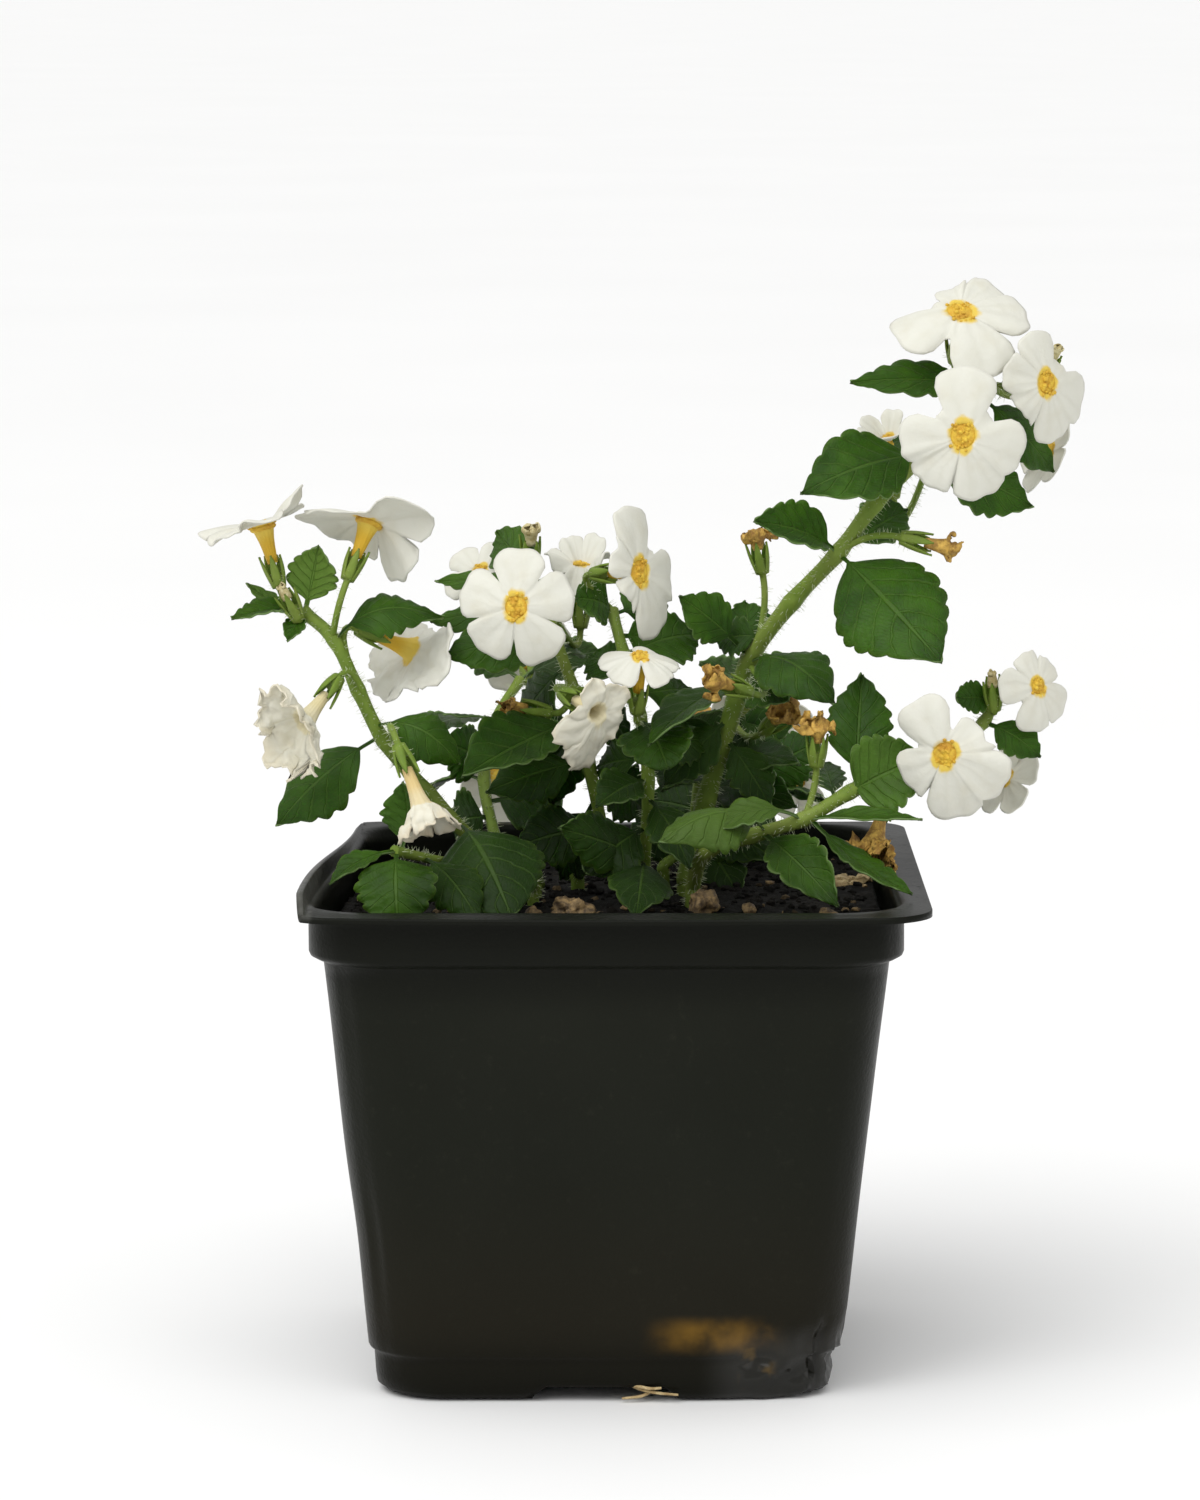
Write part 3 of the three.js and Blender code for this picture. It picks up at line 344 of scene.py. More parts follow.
def makePotLook():
    shine = {"Specular IOR Level": 0.07, "Emission Strength": 0.1, "Coat Roughness": 0.16}
    look = Look("thinBlackPlastic", **shine)
    spread = look.noise(28, 4)
    dust = look.between(look.noise(420, 5, 0.7), 0.56, 0.8)
    skin = look.mix((0.006, 0.0068, 0.0042), (0.0115, 0.0125, 0.0085), spread)
    skin = look.mix(skin, (0.03, 0.03, 0.021), dust * 0.25)
    across, depth, height = look.split(look.point())
    front = 1 - look.between(depth, -0.03, 0.0)
    warmth = (1 - look.between(height, 0.008, 0.05)) * 0.5
    skin = look.mix(skin, (0.013, 0.0095, 0.0048), warmth)
    footShade = (1 - look.between(height, 0.002, 0.016)) * 0.7
    skin = look.mix(skin, (0.003, 0.0032, 0.0018), footShade)
    bandShade = look.between(height, 0.07, 0.078) * 0.6
    skin = look.mix(skin, (0.004, 0.0044, 0.003), bandShade)
    mark = potMarks["glow"]
    glow = look.near(across, mark["across"], mark["wide"])
    glow = glow * look.near(height, mark["up"], mark["high"])
    glow = glow * front * look.between(look.noise(120, 3), 0.3, 0.7)
    skin = look.mix(skin, (0.085, 0.048, 0.008), glow)
    mark = potMarks["crush"]
    crushed = look.near(across, mark["across"], mark["wide"])
    crushed = crushed * (1 - look.between(height, *mark["high"])) * front
    # painted light: small amber specks of light in the crushed corner of the foot
    mark = potMarks["lightSpecks"]
    lightSpecks = crushed * look.near(across, mark["across"], mark["wide"])
    lightSpecks = lightSpecks * look.between(look.noise(240, 2), 0.5, 0.68)
    skin = look.mix(skin, (0.07, 0.042, 0.009), lightSpecks)
    # lighter grey along the top of the left flange
    mark = potMarks["rimEdge"]
    paleFlange = 1 - look.between(across, *mark["across"])
    paleFlange = paleFlange * look.between(height, *mark["high"])
    skin = look.mix(skin, (0.2, 0.2, 0.18), paleFlange * look.noise(300, 3) * 0.7)
    return look.finish(
        Base_Color=skin,
        Roughness=spread * 0.16 + dust * 0.22 + 0.27,
        Coat_Weight=crushed * 0.5,
        Emission_Color=look.mix((0, 0, 0), (0.55, 0.27, 0.03), glow),
        Normal=look.bump(look.noise(1400, 3) * 0.12 + spread * 0.8, 0.0006),
    )


def makeHairLook():
    look = Look("paleHair")
    skin = look.mix((0.34, 0.4, 0.2), (0.62, 0.66, 0.48), look.noise(300, 2))
    return look.finish(Base_Color=skin, Roughness=look.noise(400, 2) * 0.2 + 0.4)


def makeFloorLook():
    look = Look("paleFloor")
    haze = look.noise(3, 3)
    skin = look.mix((0.87, 0.87, 0.865), (0.9, 0.9, 0.895), haze)
    return look.finish(Base_Color=skin, Roughness=haze * 0.1 + 0.6)


leafColours = {
    "dark": (0.012, 0.037, 0.0015),
    "mid": (0.043, 0.111, 0.004),
    "young": (0.13, 0.22, 0.035),
    "shaded": (0.005, 0.016, 0.0008),
    "edge": (0.08, 0.14, 0.018),
    "vein": (0.075, 0.14, 0.022),
    "veinShare": 0.34,
}
undersideColours = {
    "dark": (0.07, 0.12, 0.033),
    "mid": (0.11, 0.18, 0.06),
    "young": (0.16, 0.25, 0.085),
    "shaded": (0.02, 0.04, 0.008),
    "edge": (0.14, 0.21, 0.07),
    "vein": (0.19, 0.27, 0.12),
    "veinShare": 0.6,
}
leafTop = makeLeafLook("leafTop", leafColours, 0.7)
leafUnder = makeLeafLook("leafUnderside", undersideColours, -0.9)
stemGreen = makeStemLook()


def petalColours(light, shade, warm, eye, deep, edge, eyeShare):
    skin = {"light": light, "shade": shade, "warm": warm, "edge": edge, "edgeShare": 0.3}
    return skin | {"eye": eye, "deep": deep, "eyeShare": eyeShare}


petalWhite = makePetalLook(
    "petalWhite",
    petalColours(
        light=(0.62, 0.615, 0.54),
        shade=(0.5, 0.49, 0.4),
        warm=(0.58, 0.565, 0.475),
        eye=(0.66, 0.46, 0.04),
        deep=(0.6, 0.36, 0.02),
        edge=(0.64, 0.63, 0.56),
        eyeShare=0.95,
    ),
)
petalCream = makePetalLook(
    "petalCream",
    petalColours(
        light=(0.66, 0.64, 0.53),
        shade=(0.5, 0.46, 0.33),
        warm=(0.6, 0.56, 0.43),
        eye=(0.62, 0.52, 0.24),
        deep=(0.58, 0.48, 0.22),
        edge=(0.56, 0.47, 0.3),
        eyeShare=0.5,
    ),
)
petalWilted = makePetalLook(
    "petalWilted",
    petalColours(
        light=(0.67, 0.645, 0.53),
        shade=(0.55, 0.49, 0.35),
        warm=(0.64, 0.56, 0.4),
        eye=(0.6, 0.46, 0.18),
        deep=(0.58, 0.4, 0.12),
        edge=(0.5, 0.36, 0.18),
        eyeShare=0.6,
    ),
)

# Dry and rough finishes: their dark, light and spot colours.
dryColours = {
    "dryBrown": ((0.24, 0.12, 0.018), (0.68, 0.43, 0.085), (0.5, 0.3, 0.07)),
    "budCream": ((0.42, 0.34, 0.14), (0.68, 0.62, 0.38), (0.5, 0.46, 0.2)),
    "barkBrown": ((0.05, 0.03, 0.013), (0.36, 0.24, 0.1), (0.24, 0.165, 0.075)),
    "antherYellow": ((0.56, 0.31, 0.02), (0.74, 0.52, 0.05), (0.42, 0.2, 0.015)),
    "strawRoot": ((0.3, 0.2, 0.08), (0.62, 0.5, 0.27), (0.45, 0.36, 0.2)),
}
dryLooks = {name: makeDryLook(name, *colours) for name, colours in dryColours.items()}
soilDark = makeSoilLook("pottingSoil", (0.004, 0.0034, 0.0022), (0.02, 0.015, 0.009))
potBlack = makePotLook()
paleHair = makeHairLook()
floorPale = makeFloorLook()
print("materials ready")


# A bmesh in millimetres becomes one object in metres, riding on the part.
def makePiece(bm, name, materials, nodes, smooth=True):
    bmesh.ops.scale(bm, vec=(mm, mm, mm), verts=bm.verts)
    for face in bm.faces:
        face.smooth = smooth
    mesh = bpy.data.meshes.new(name)
    bm.to_mesh(mesh)
    bm.free()
    for material in materials:
        mesh.materials.append(material)
    piece = bpy.data.objects.new(name, mesh)
    scene.collection.objects.link(piece)
    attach(piece, "root")
    if nodes:
        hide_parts(*nodes)
    return piece


def thicken(piece, thick, offset=-1, under=0):
    shell = piece.modifiers.new("thickness", "SOLIDIFY")
    shell.thickness = thick * mm
    shell.offset = offset
    shell.material_offset = under
    shell.material_offset_rim = under


def startMesh():
    bm = bmesh.new()
    for name in ("tone", "out", "turn"):
        bm.verts.layers.float.new(name)
    bm.loops.layers.uv.new("leafMap")
    return bm, dict(bm.verts.layers.float.items())


def joinMesh(whole, part):
    mesh = bpy.data.meshes.new("part")
    part.to_mesh(mesh)
    part.free()
    whole.from_mesh(mesh)
    bpy.data.meshes.remove(mesh)


def paintFaces(verts, index):
    for face in {f for vert in verts for f in vert.link_faces}:
        face.material_index = index


# The edges are pushed on by one ring, whose points the caller then moves.
def pushEdges(bm, edges):
    grown = bmesh.ops.extrude_edge_only(bm, edges=edges)["geom"]
    verts = [g for g in grown if isinstance(g, bmesh.types.BMVert)]
    fresh = set(verts)
    edges = [g for g in grown if isinstance(g, bmesh.types.BMEdge) and fresh.issuperset(g.verts)]
    return verts, edges


def growRings(bm, around, count):
    made = bmesh.ops.create_circle(bm, cap_ends=True, segments=around, radius=1)
    verts = made["verts"]
    edges = [e for e in bm.edges if e.verts[0] in verts and e.verts[1] in verts]
    rings = [verts]
    for _ in range(count - 1):
        verts, edges = pushEdges(bm, edges)
        rings.append(verts)
    return rings


# Round tubes along lists of points, with a radius at each point.
def growTubes(bm, tubes, sides=2):
    curve = bpy.data.curves.new("tubes", "CURVE")
    curve.dimensions = "3D"
    curve.bevel_depth = 1
    curve.bevel_resolution = sides
    curve.use_fill_caps = True
    for points, radii in tubes:
        spline = curve.splines.new("POLY")
        spline.points.add(len(points) - 1)
        for spot, point, radius in zip(spline.points, points, radii):
            spot.co = (*point, 1)
            spot.radius = radius
    holder = bpy.data.objects.new("tubes", curve)
    scene.collection.objects.link(holder)
    ready = holder.evaluated_get(bpy.context.evaluated_depsgraph_get())
    mesh = bpy.data.meshes.new_from_object(ready)
    bm.from_mesh(mesh)
    bpy.data.objects.remove(holder)
    bpy.data.curves.remove(curve)
    bpy.data.meshes.remove(mesh)


def catmullPoint(points, on):
    last = len(points) - 1
    k = min(last - 1, max(0, math.floor(on)))
    t = on - k
    b, c = points[k], points[k + 1]
    a = points[k - 1] if k > 0 else b * 2 - c
    d = points[k + 2] if k + 2 <= last else c * 2 - b
    pull, push = (c - a) * 0.5, (d - b) * 0.5
    square = ((c - b) * 3 - pull * 2 - push) * t**2
    return b + pull * t + square + ((b - c) * 2 + pull + push) * t**3


def bowPoints(start, bow, end, count):
    steps = [k / (count - 1) for k in range(count)]
    return [start * (1 - t) ** 2 + bow * 2 * t * (1 - t) + end * t**2 for t in steps]


def flowerAxes(face):
    axis = facing(*face)
    above = Vector((0, 1, 0)) if abs(axis.z) > 0.97 else Vector((0, 0, 1))
    up = squareTo(above, axis)
    return {"axis": axis, "up": up, "right": up.cross(axis)}


def clockPoint(centre, axes, angle, radius, forward):
    flat = axes["up"] * math.cos(angle) + axes["right"] * math.sin(angle)
    return centre + flat * radius + axes["axis"] * forward


leafForm = {
    "rows": (30, 1.3),  # at the least, and more for each mm of width
    "columns": 12,
    "thick": 0.34,
    "neck": 0.4,
    "teeth": (3.4, 0.2),  # at the least, and more for each mm of width
    "toothDepth": 2.5,
    "mostTooth": 0.27,
    "slim": (0.6, 0.92),  # width over length, from slim to broad
    "quilt": 0.2,
    "wave": 0.6,
    "curl": 14,
}


def leafHalf(wide, stalk, share, slim):
    # slim leaves end in a point, broad ones are round
    if share <= stalk:
        return leafForm["neck"]
    along = (share - stalk) / (1 - stalk)
    power = blend(0.85, blend(0.44, 0.98, slim), along)
    swell = max(0, math.sin(math.pi * min(1, along) ** 0.85)) ** power
    return max(leafForm["neck"] * (1 - along), wide / 2 * swell)


def growLeaf(bm, layers, leaf, base):
    form, wide, stalk = leafForm, leaf["wide"], leaf["stalk"]
    tip = place(*leaf["tip"])
    length = (tip - base).length
    along = (tip - base).normalized()
    up = squareTo(facing(*leaf["face"]), along)
    side = along.cross(up)
    fold = math.radians(leaf["fold"])
    teeth = round(form["teeth"][0] + wide * form["teeth"][1])
    toothDepth = min(form["mostTooth"], form["toothDepth"] / wide)
    slim = 1 - smoothStep(*form["slim"], wide / length)
    seed = tip.x * 0.37 + tip.z * 0.21
    rows = round(form["rows"][0] + form["rows"][1] * wide)
    made = bmesh.ops.create_grid(
        bm, x_segments=form["columns"], y_segments=rows, size=1, calc_uvs=True
    )
    for vert in made["verts"]:
        across, even = vert.co.x, (vert.co.y + 1) / 2
        share = 1 - (1 - even) ** 1.25  # the rows are closer at the tip
        edge = abs(across)
        half = 2 if across > 0 else 0  # the two halves of a blade aren't alike
        blade = max(0, (share - stalk) / (1 - stalk))
        saw = (blade * teeth + 0.16 * math.sin(seed + 9 * blade + half)) % 1
        tooth = math.sin(math.pi * saw**1.25) ** 0.6 - 0.75
        notch = tooth * toothDepth * smoothStep(0.08, 0.3, blade)
        reach = leafHalf(wide, stalk, share, slim) * (1 + notch * edge**4)
        rise = leaf["arch"] * 4 * (1 - 2 * share) / length
        normal = side.cross((along + up * rise).normalized())
        point = base + along * length * share
        point += up * leaf["arch"] * 4 * share * (1 - share)
        curl = fold + math.radians(form["curl"]) * (edge - 0.4) * math.sin(seed * 3)
        point += side * reach * across * math.cos(curl)
        point += normal * reach * edge * math.sin(curl)
        quilt = math.cos(2 * math.pi * veinForm["ribs"] * (even - edge * veinForm["lean"]))
        sheet = quilt * smoothStep(0.06, 0.3, edge) * (1 - smoothStep(0.7, 1, edge))
        sheet += -1.4 * math.exp(-((edge / 0.09) ** 2))
        wave = math.sin(seed + 7.5 * share + half * 0.85) * edge**2
        wave += 0.45 * math.sin(2 * math.pi * saw) * edge**4 * smoothStep(0.1, 0.3, blade)
        body = smoothStep(0, 0.15, blade) * min(1, wide / 12)
        vert.co = point + normal * (form["quilt"] * sheet + form["wave"] * wave) * body
        vert[layers["tone"]] = leaf["tone"]


sepalForm = {"wide": 0.95, "foot": 1.25, "tip": 2.15, "belly": 0.3, "hollow": 0.22, "tone": 0.85}


def growSepals(bm, layers, foot, axes, length, start):
    form = sepalForm
    for k in range(5):
        angle = start + 2 * math.pi * k / 5
        beside = axes["right"] * math.cos(angle) - axes["up"] * math.sin(angle)
        wild = 0.25 * math.sin(5 * k + foot.x)
        made = bmesh.ops.create_grid(bm, x_segments=4, y_segments=9, size=1)
        for vert in made["verts"]:
            across, share = vert.co.x, (vert.co.y + 1) / 2
            half = form["wide"] * (1 - share) ** 0.8 * (0.75 + share) + 0.06
            radius = blend(form["foot"], form["tip"] + wild, share**1.4)
            radius += form["belly"] * math.sin(math.pi * share) - form["hollow"] * across**2
            forward = (length + 0.4 + wild) * share - 0.4
            vert.co = clockPoint(foot, axes, angle, radius, forward) - beside * half * across
            vert[layers["tone"]] = form["tone"]
        paintFaces(made["verts"], 2)


corollaForm = {
    "aroundLobe": 18,
    "tubeRings": 5,
    "lobeRings": 15,
    "evenGap": 76,  # degrees between lobes that just part
    "mergeGap": (52, 78),  # closer than this, two lobes grow into one
    "twist": 0.09,
    "ripple": 0.03,
    "crease": 0.008,
    "hollow": 0.07,
}


def corollaPoint(flower, centre, axes, turn, ring, seed):
    # turn is an even share of the way round: each whole number is the middle of a lobe
    form, turns = corollaForm, flower["turns"]
    radius = flower["wide"] / 2
    throat = flower["wide"] * flower["throat"]
    k = round(turn)
    off = (turn - k) * 2
    near = k + (1 if off > 0 else -1)
    gap = (turns[near % 5] - turns[k % 5]) * (near - k) % 360
    angle = math.radians(turns[k % 5] + off * gap / 2)
    if ring < 0:  # the tube, from its foot up to the throat
        up = 1 + ring
        wide = blend(flowerForm["tubeFoot"], throat, 0.35 * up + 0.65 * up**3)
        return clockPoint(centre, axes, angle, wide, flower["tube"] * ring)
    share = 0.5 * smoothStep(0.55, 1, abs(off))
    reach = blend(flower["reach"][k % 5], flower["reach"][near % 5], share)
    bend = math.radians(blend(flower["bend"][k % 5], flower["bend"][near % 5], share))
    side = min(1, abs(off) * max(1, gap / form["evenGap"]))
    merge = 1 - smoothStep(*form["mergeGap"], gap)
    valley = blend(flower["valley"], 1, 0.8 * merge)
    edge = valley + (1 - valley) * (1 - side**flower["square"]) ** 0.55
    edge *= 0.985 + 0.015 * math.sin(9 * off + 2 * k + seed)
    length = max(0.3, radius * edge * reach - throat) * ring
    curl = flower["curl"] * ring * length / radius
    belly = math.sin(math.pi * ring)
    lift = form["twist"] * math.sin(seed + 2.4 * k) * off * (1 - side**6) * ring
    lift += form["ripple"] * math.sin(4 * off + 3 * k + seed) * ring**2
    lift -= form["crease"] * math.exp(-((off / 0.22) ** 2)) * belly
    lift -= form["hollow"] * (1 - side**2) * belly * flower["cup"]
    lift -= (0.1 * ring**3 + 0.05 * side**4 * (1 - merge)) * edge * flower["roll"]
    out = throat + length * math.cos(bend + curl)
    forward = length * math.sin(bend + curl) + lift * radius
    spot = clockPoint(centre, axes, angle, out, forward)
    if flower["crumple"]:
        size = flower["crumple"] * radius * ring
        spot += noise.noise_vector(spot * 0.33 + Vector((seed, 0, 0))) * size
        spot += noise.noise_vector(spot * 0.9 + Vector((0, seed, 0))) * size * 0.35
    return spot


# The tube, the throat and the five lobes grow from one circle.
def growCorolla(bm, layers, flower, centre, axes, seed):
    tube, lobe = corollaForm["tubeRings"], corollaForm["lobeRings"]
    steps = [k / tube - 1 for k in range(tube)] + [k / lobe for k in range(lobe + 1)]
    rings = growRings(bm, 5 * corollaForm["aroundLobe"], len(steps))
    for step, verts in zip(steps, rings):
        for vert in verts:
            turn = math.atan2(vert.co.x, vert.co.y) * 2.5 / math.pi + 5
            vert.co = corollaPoint(flower, centre, axes, turn, step, seed)
            vert[layers["out"]] = step
            vert[layers["turn"]] = turn * 2
    bmesh.ops.recalc_face_normals(bm, faces=bm.faces[:])


def pieceName(node):
    words = node.split("_")
    return words[0] + "".join(word.capitalize() for word in words[1:])


mouthForm = {
    "floorWide": 1.06,  # as a share of the throat
    "anthers": 4,
    "grains": 26,
    "grainWide": (0.17, 0.3),
    "grainReach": (0.3, 1.2),
}


# A soft floor nearly closes the mouth, with a beard of short grains and four anthers on it.
def growMouth(bm, flower, centre, axes, seed):
    dice = random.Random(seed)
    throat = flower["wide"] * flower["throat"]
    turned = axes["axis"].to_track_quat("Z", "Y").to_matrix().to_4x4()
    lumps = [(0, 0, -0.7, throat * mouthForm["floorWide"], 0.66, 3)]
    for k in range(mouthForm["anthers"]):
        lumps.append((0.9 + 1.6 * k, throat * 0.35, -0.2 + 0.1 * k, 0.36, 0.45, 2))
    for k in range(mouthForm["grains"]):
        out = throat * dice.uniform(*mouthForm["grainReach"])
        angle = math.pi * (k % 2) + dice.uniform(-0.9, 0.9)
        forward = dice.uniform(-0.3, 0.02)
        lumps.append((angle, out, forward, dice.uniform(*mouthForm["grainWide"]), 0.3, 1))
    for angle, out, forward, wide, long, steps in lumps:
        spot = Matrix.Translation(clockPoint(centre, axes, angle, out, forward))
        there = spot @ turned @ Matrix.Diagonal((wide, wide, long, 1))
        made = bmesh.ops.create_icosphere(bm, subdivisions=steps, radius=1, matrix=there)
        paintFaces(made["verts"], 1)


def growFlower(flower, seed):
    bm, layers = startMesh()
    centre, axes = place(*flower["at"]), flowerAxes(flower["face"])
    growCorolla(bm, layers, flower, centre, axes, seed)
    if not flower["wilted"]:
        growMouth(bm, flower, centre, axes, seed)
    skins = [flower["skin"], dryLooks["antherYellow"]]
    piece = makePiece(bm, pieceName(flower["node"]), skins, [flower["node"]])
    thicken(piece, flowerForm["petalThick"], 0)


headForm = {
    "dried": {"wide": 1.5, "tube": 0.5, "bend": (38, 46), "curl": 1.2, "crumple": 0.62},
    "bud": {"wide": 1.15, "tube": 0.6, "bend": (62, 30), "curl": 1.6, "crumple": 0.25},
    "same": {"throat": 0.2, "valley": 0.35, "square": 3.4, "cup": 1, "roll": 0},
    "thick": 0.25,
}


def growHead(head, seed):
    # a dried flower or a bud: a small corolla, shrunk and crumpled
    bm, layers = startMesh()
    axes = flowerAxes(head["face"])
    width, length = head["size"]
    form = headForm["bud" if head["pale"] else "dried"]
    wild = [math.sin(seed * 1.7 + 2.1 * k) for k in range(5)]
    flower = headForm["same"] | {
        "wide": width * form["wide"],
        "tube": length * form["tube"],
        "turns": [72 * k + 30 * seed for k in range(5)],
        "reach": [1 + 0.2 * w for w in wild],
        "bend": [form["bend"][0] + form["bend"][1] * w for w in wild],
        "curl": form["curl"],
        "crumple": form["crumple"],
    }
    end = place(*head["at"]) - axes["axis"] * length * 0.6
    growCorolla(bm, layers, flower, end + axes["axis"] * flower["tube"], axes, seed)
    skin = dryLooks["budCream" if head["pale"] else "dryBrown"]
    piece = makePiece(bm, pieceName(head["node"]), [skin], [head["node"]])
    thicken(piece, headForm["thick"], 0)


hairForm = {
    "perMm": 4.6,
    "length": (0.6, 1.3),
    "thick": 0.055,
    "tip": 0.3,  # as a share of the thickness
    "lean": 0.35,
    "sunk": 0.93,  # hairs start a little inside the stem
    "batch": 250,
}


# Short pale hairs stand out all round the stems and the calyxes.
def growHairs(name, tubes, node):
    dice = random.Random(name)
    spots = []
    for points, radii in tubes:
        for k in range(len(points) - 1):
            step = points[k + 1] - points[k]
            if step.length < 0.01:
                continue
            along = step.normalized()
            across = squareTo(Vector((0.3, 0.5, 0.8)), along)
            for _ in range(round(step.length * hairForm["perMm"] * radii[k] / 0.8)):
                out = Matrix.Rotation(dice.uniform(0, 2 * math.pi), 3, along) @ across
                share = dice.random()
                root = points[k] + step * share
                root += out * blend(radii[k], radii[k + 1], share) * hairForm["sunk"]
                lean = out + along * dice.uniform(-hairForm["lean"], hairForm["lean"])
                spots.append((root, lean, dice.uniform(*hairForm["length"])))
    whole = bmesh.new()
    for start in range(0, len(spots), hairForm["batch"]):
        tuft = bmesh.new()
        for root, lean, length in spots[start : start + hairForm["batch"]]:
            turned = lean.to_track_quat("Z", "Y").to_matrix().to_4x4()
            middle = Matrix.Translation(root + lean.normalized() * length / 2)
            bmesh.ops.create_cone(
                tuft,
                cap_ends=True,
                cap_tris=True,
                segments=3,
                radius1=hairForm["thick"],
                radius2=hairForm["thick"] * hairForm["tip"],
                depth=length,
                matrix=middle @ turned,
            )
        joinMesh(whole, tuft)
    makePiece(whole, name, [paleHair], [node], smooth=False)


stemForm = {
    "steps": 6,
    "swell": 0.22,
    "swellReach": 0.16,
    "bowSteps": 12,
    "calyx": {"up": (-0.2, 0.6, 1.5, 2.3), "radii": [0.95, 1.3, 1.4, 1.1]},
}


# One shoot: its stem and pedicels, its leaves and sepals, its hairs, and what it carries.
def growShoot(name, shoot):
    form, root = stemForm, shoot["root"]
    foot = [Vector((*root, soilTop + up)) for up in (stemRoot, 1.2, 3.2)]
    points = foot + [place(*spot) for spot in shoot["route"]]
    count = form["steps"] * (len(points) - 1)
    steps = [(len(points) - 1) * k / count for k in range(count + 1)]
    thick = [blend(*shoot["thick"], k / count) / 2 for k in range(count + 1)]
    for k, step in enumerate(steps):  # the nodes, where leaves stand, are swollen
        away = abs(step - max(3, round(step))) / form["swellReach"]
        thick[k] *= 1 + form["swell"] * math.exp(-(away**2))
    tubes = [([catmullPoint(points, step) for step in steps], thick)]
    leaves, layers = startMesh()
    for leaf in shoot["leaves"]:
        growLeaf(leaves, layers, leaf, catmullPoint(points, leaf["on"] + len(foot)))
    carried = [(flower, flower["tube"]) for flower in shoot["flowers"]]
    carried += [(head, None) for head in shoot["heads"]]
    for k, (item, tube) in enumerate(carried):
        axes = flowerAxes(item["face"])
        axis = axes["axis"]
        back = tube if tube else item["size"][1] * 0.6
        seat = flowerForm["calyxSeat"] + flowerForm["seatGap"] + back
        calyx = place(*item["at"]) - axis * seat
        base = catmullPoint(points, item["on"] + len(foot))
        bow = calyx - axis * 0.5 * (base - calyx).length
        line = bowPoints(base, bow, calyx - axis * 0.8, form["bowSteps"])
        line += [calyx + axis * up for up in form["calyx"]["up"]]
        radii = [flowerForm["stalk"]] * form["bowSteps"] + form["calyx"]["radii"]
        tubes.append((line, radii))
        growSepals(leaves, layers, calyx, axes, flowerForm["calyx"], 0.4 * k)
        if tube:
            growFlower(item, 1.3 * k + root[0])
        else:
            growHead(item, k + 2)
    stems = bmesh.new()
    growTubes(stems, tubes)
    makePiece(stems, name + "Stems", [stemGreen], [shoot["node"]])
    growHairs(name + "Hairs", tubes, shoot["node"])
    skins = [leafTop, leafUnder, stemGreen, stemGreen]
    blades = makePiece(leaves, name + "Leaves", skins, [shoot["node"]])
    thicken(blades, leafForm["thick"], under=1)
    print(name, "grown")


# tone: partly the leaf's own colour and partly painted shade; the leaves deep inside the plant get
# low tones
def leaf(on, tip, wide, face, arch, fold, stalk=0.18, tone=0.45):
    made = {"on": on, "tip": tip, "wide": wide, "face": face, "arch": arch}
    return made | {"fold": fold, "stalk": stalk, "tone": tone}


def bloom(node, on, at, face, wide, turns, reach, bend, **changes):
    made = {"node": node, "on": on, "at": at, "face": face, "wide": wide}
    made |= {"turns": turns, "reach": reach, "bend": bend}
    made |= {"throat": flowerForm["throat"], "tube": flowerForm["tube"], "skin": petalWhite}
    made |= {"valley": 0.5, "square": 4.4, "curl": -0.08, "cup": 0.3, "roll": 1}
    made |= {"crumple": 0, "wilted": False}
    return made | changes


def wilted(node, on, at, face, wide, turns, reach, bend, **changes):
    limp = {"wilted": True, "skin": petalWilted, "crumple": 0.3}
    limp |= {"valley": 0.35, "curl": 0.2, "cup": 1.2}
    return bloom(node, on, at, face, wide, turns, reach, bend, **(limp | changes))


def dried(node, on, at, face, size, pale=False):
    return {"node": node, "on": on, "at": at, "face": face, "size": size, "pale": pale}


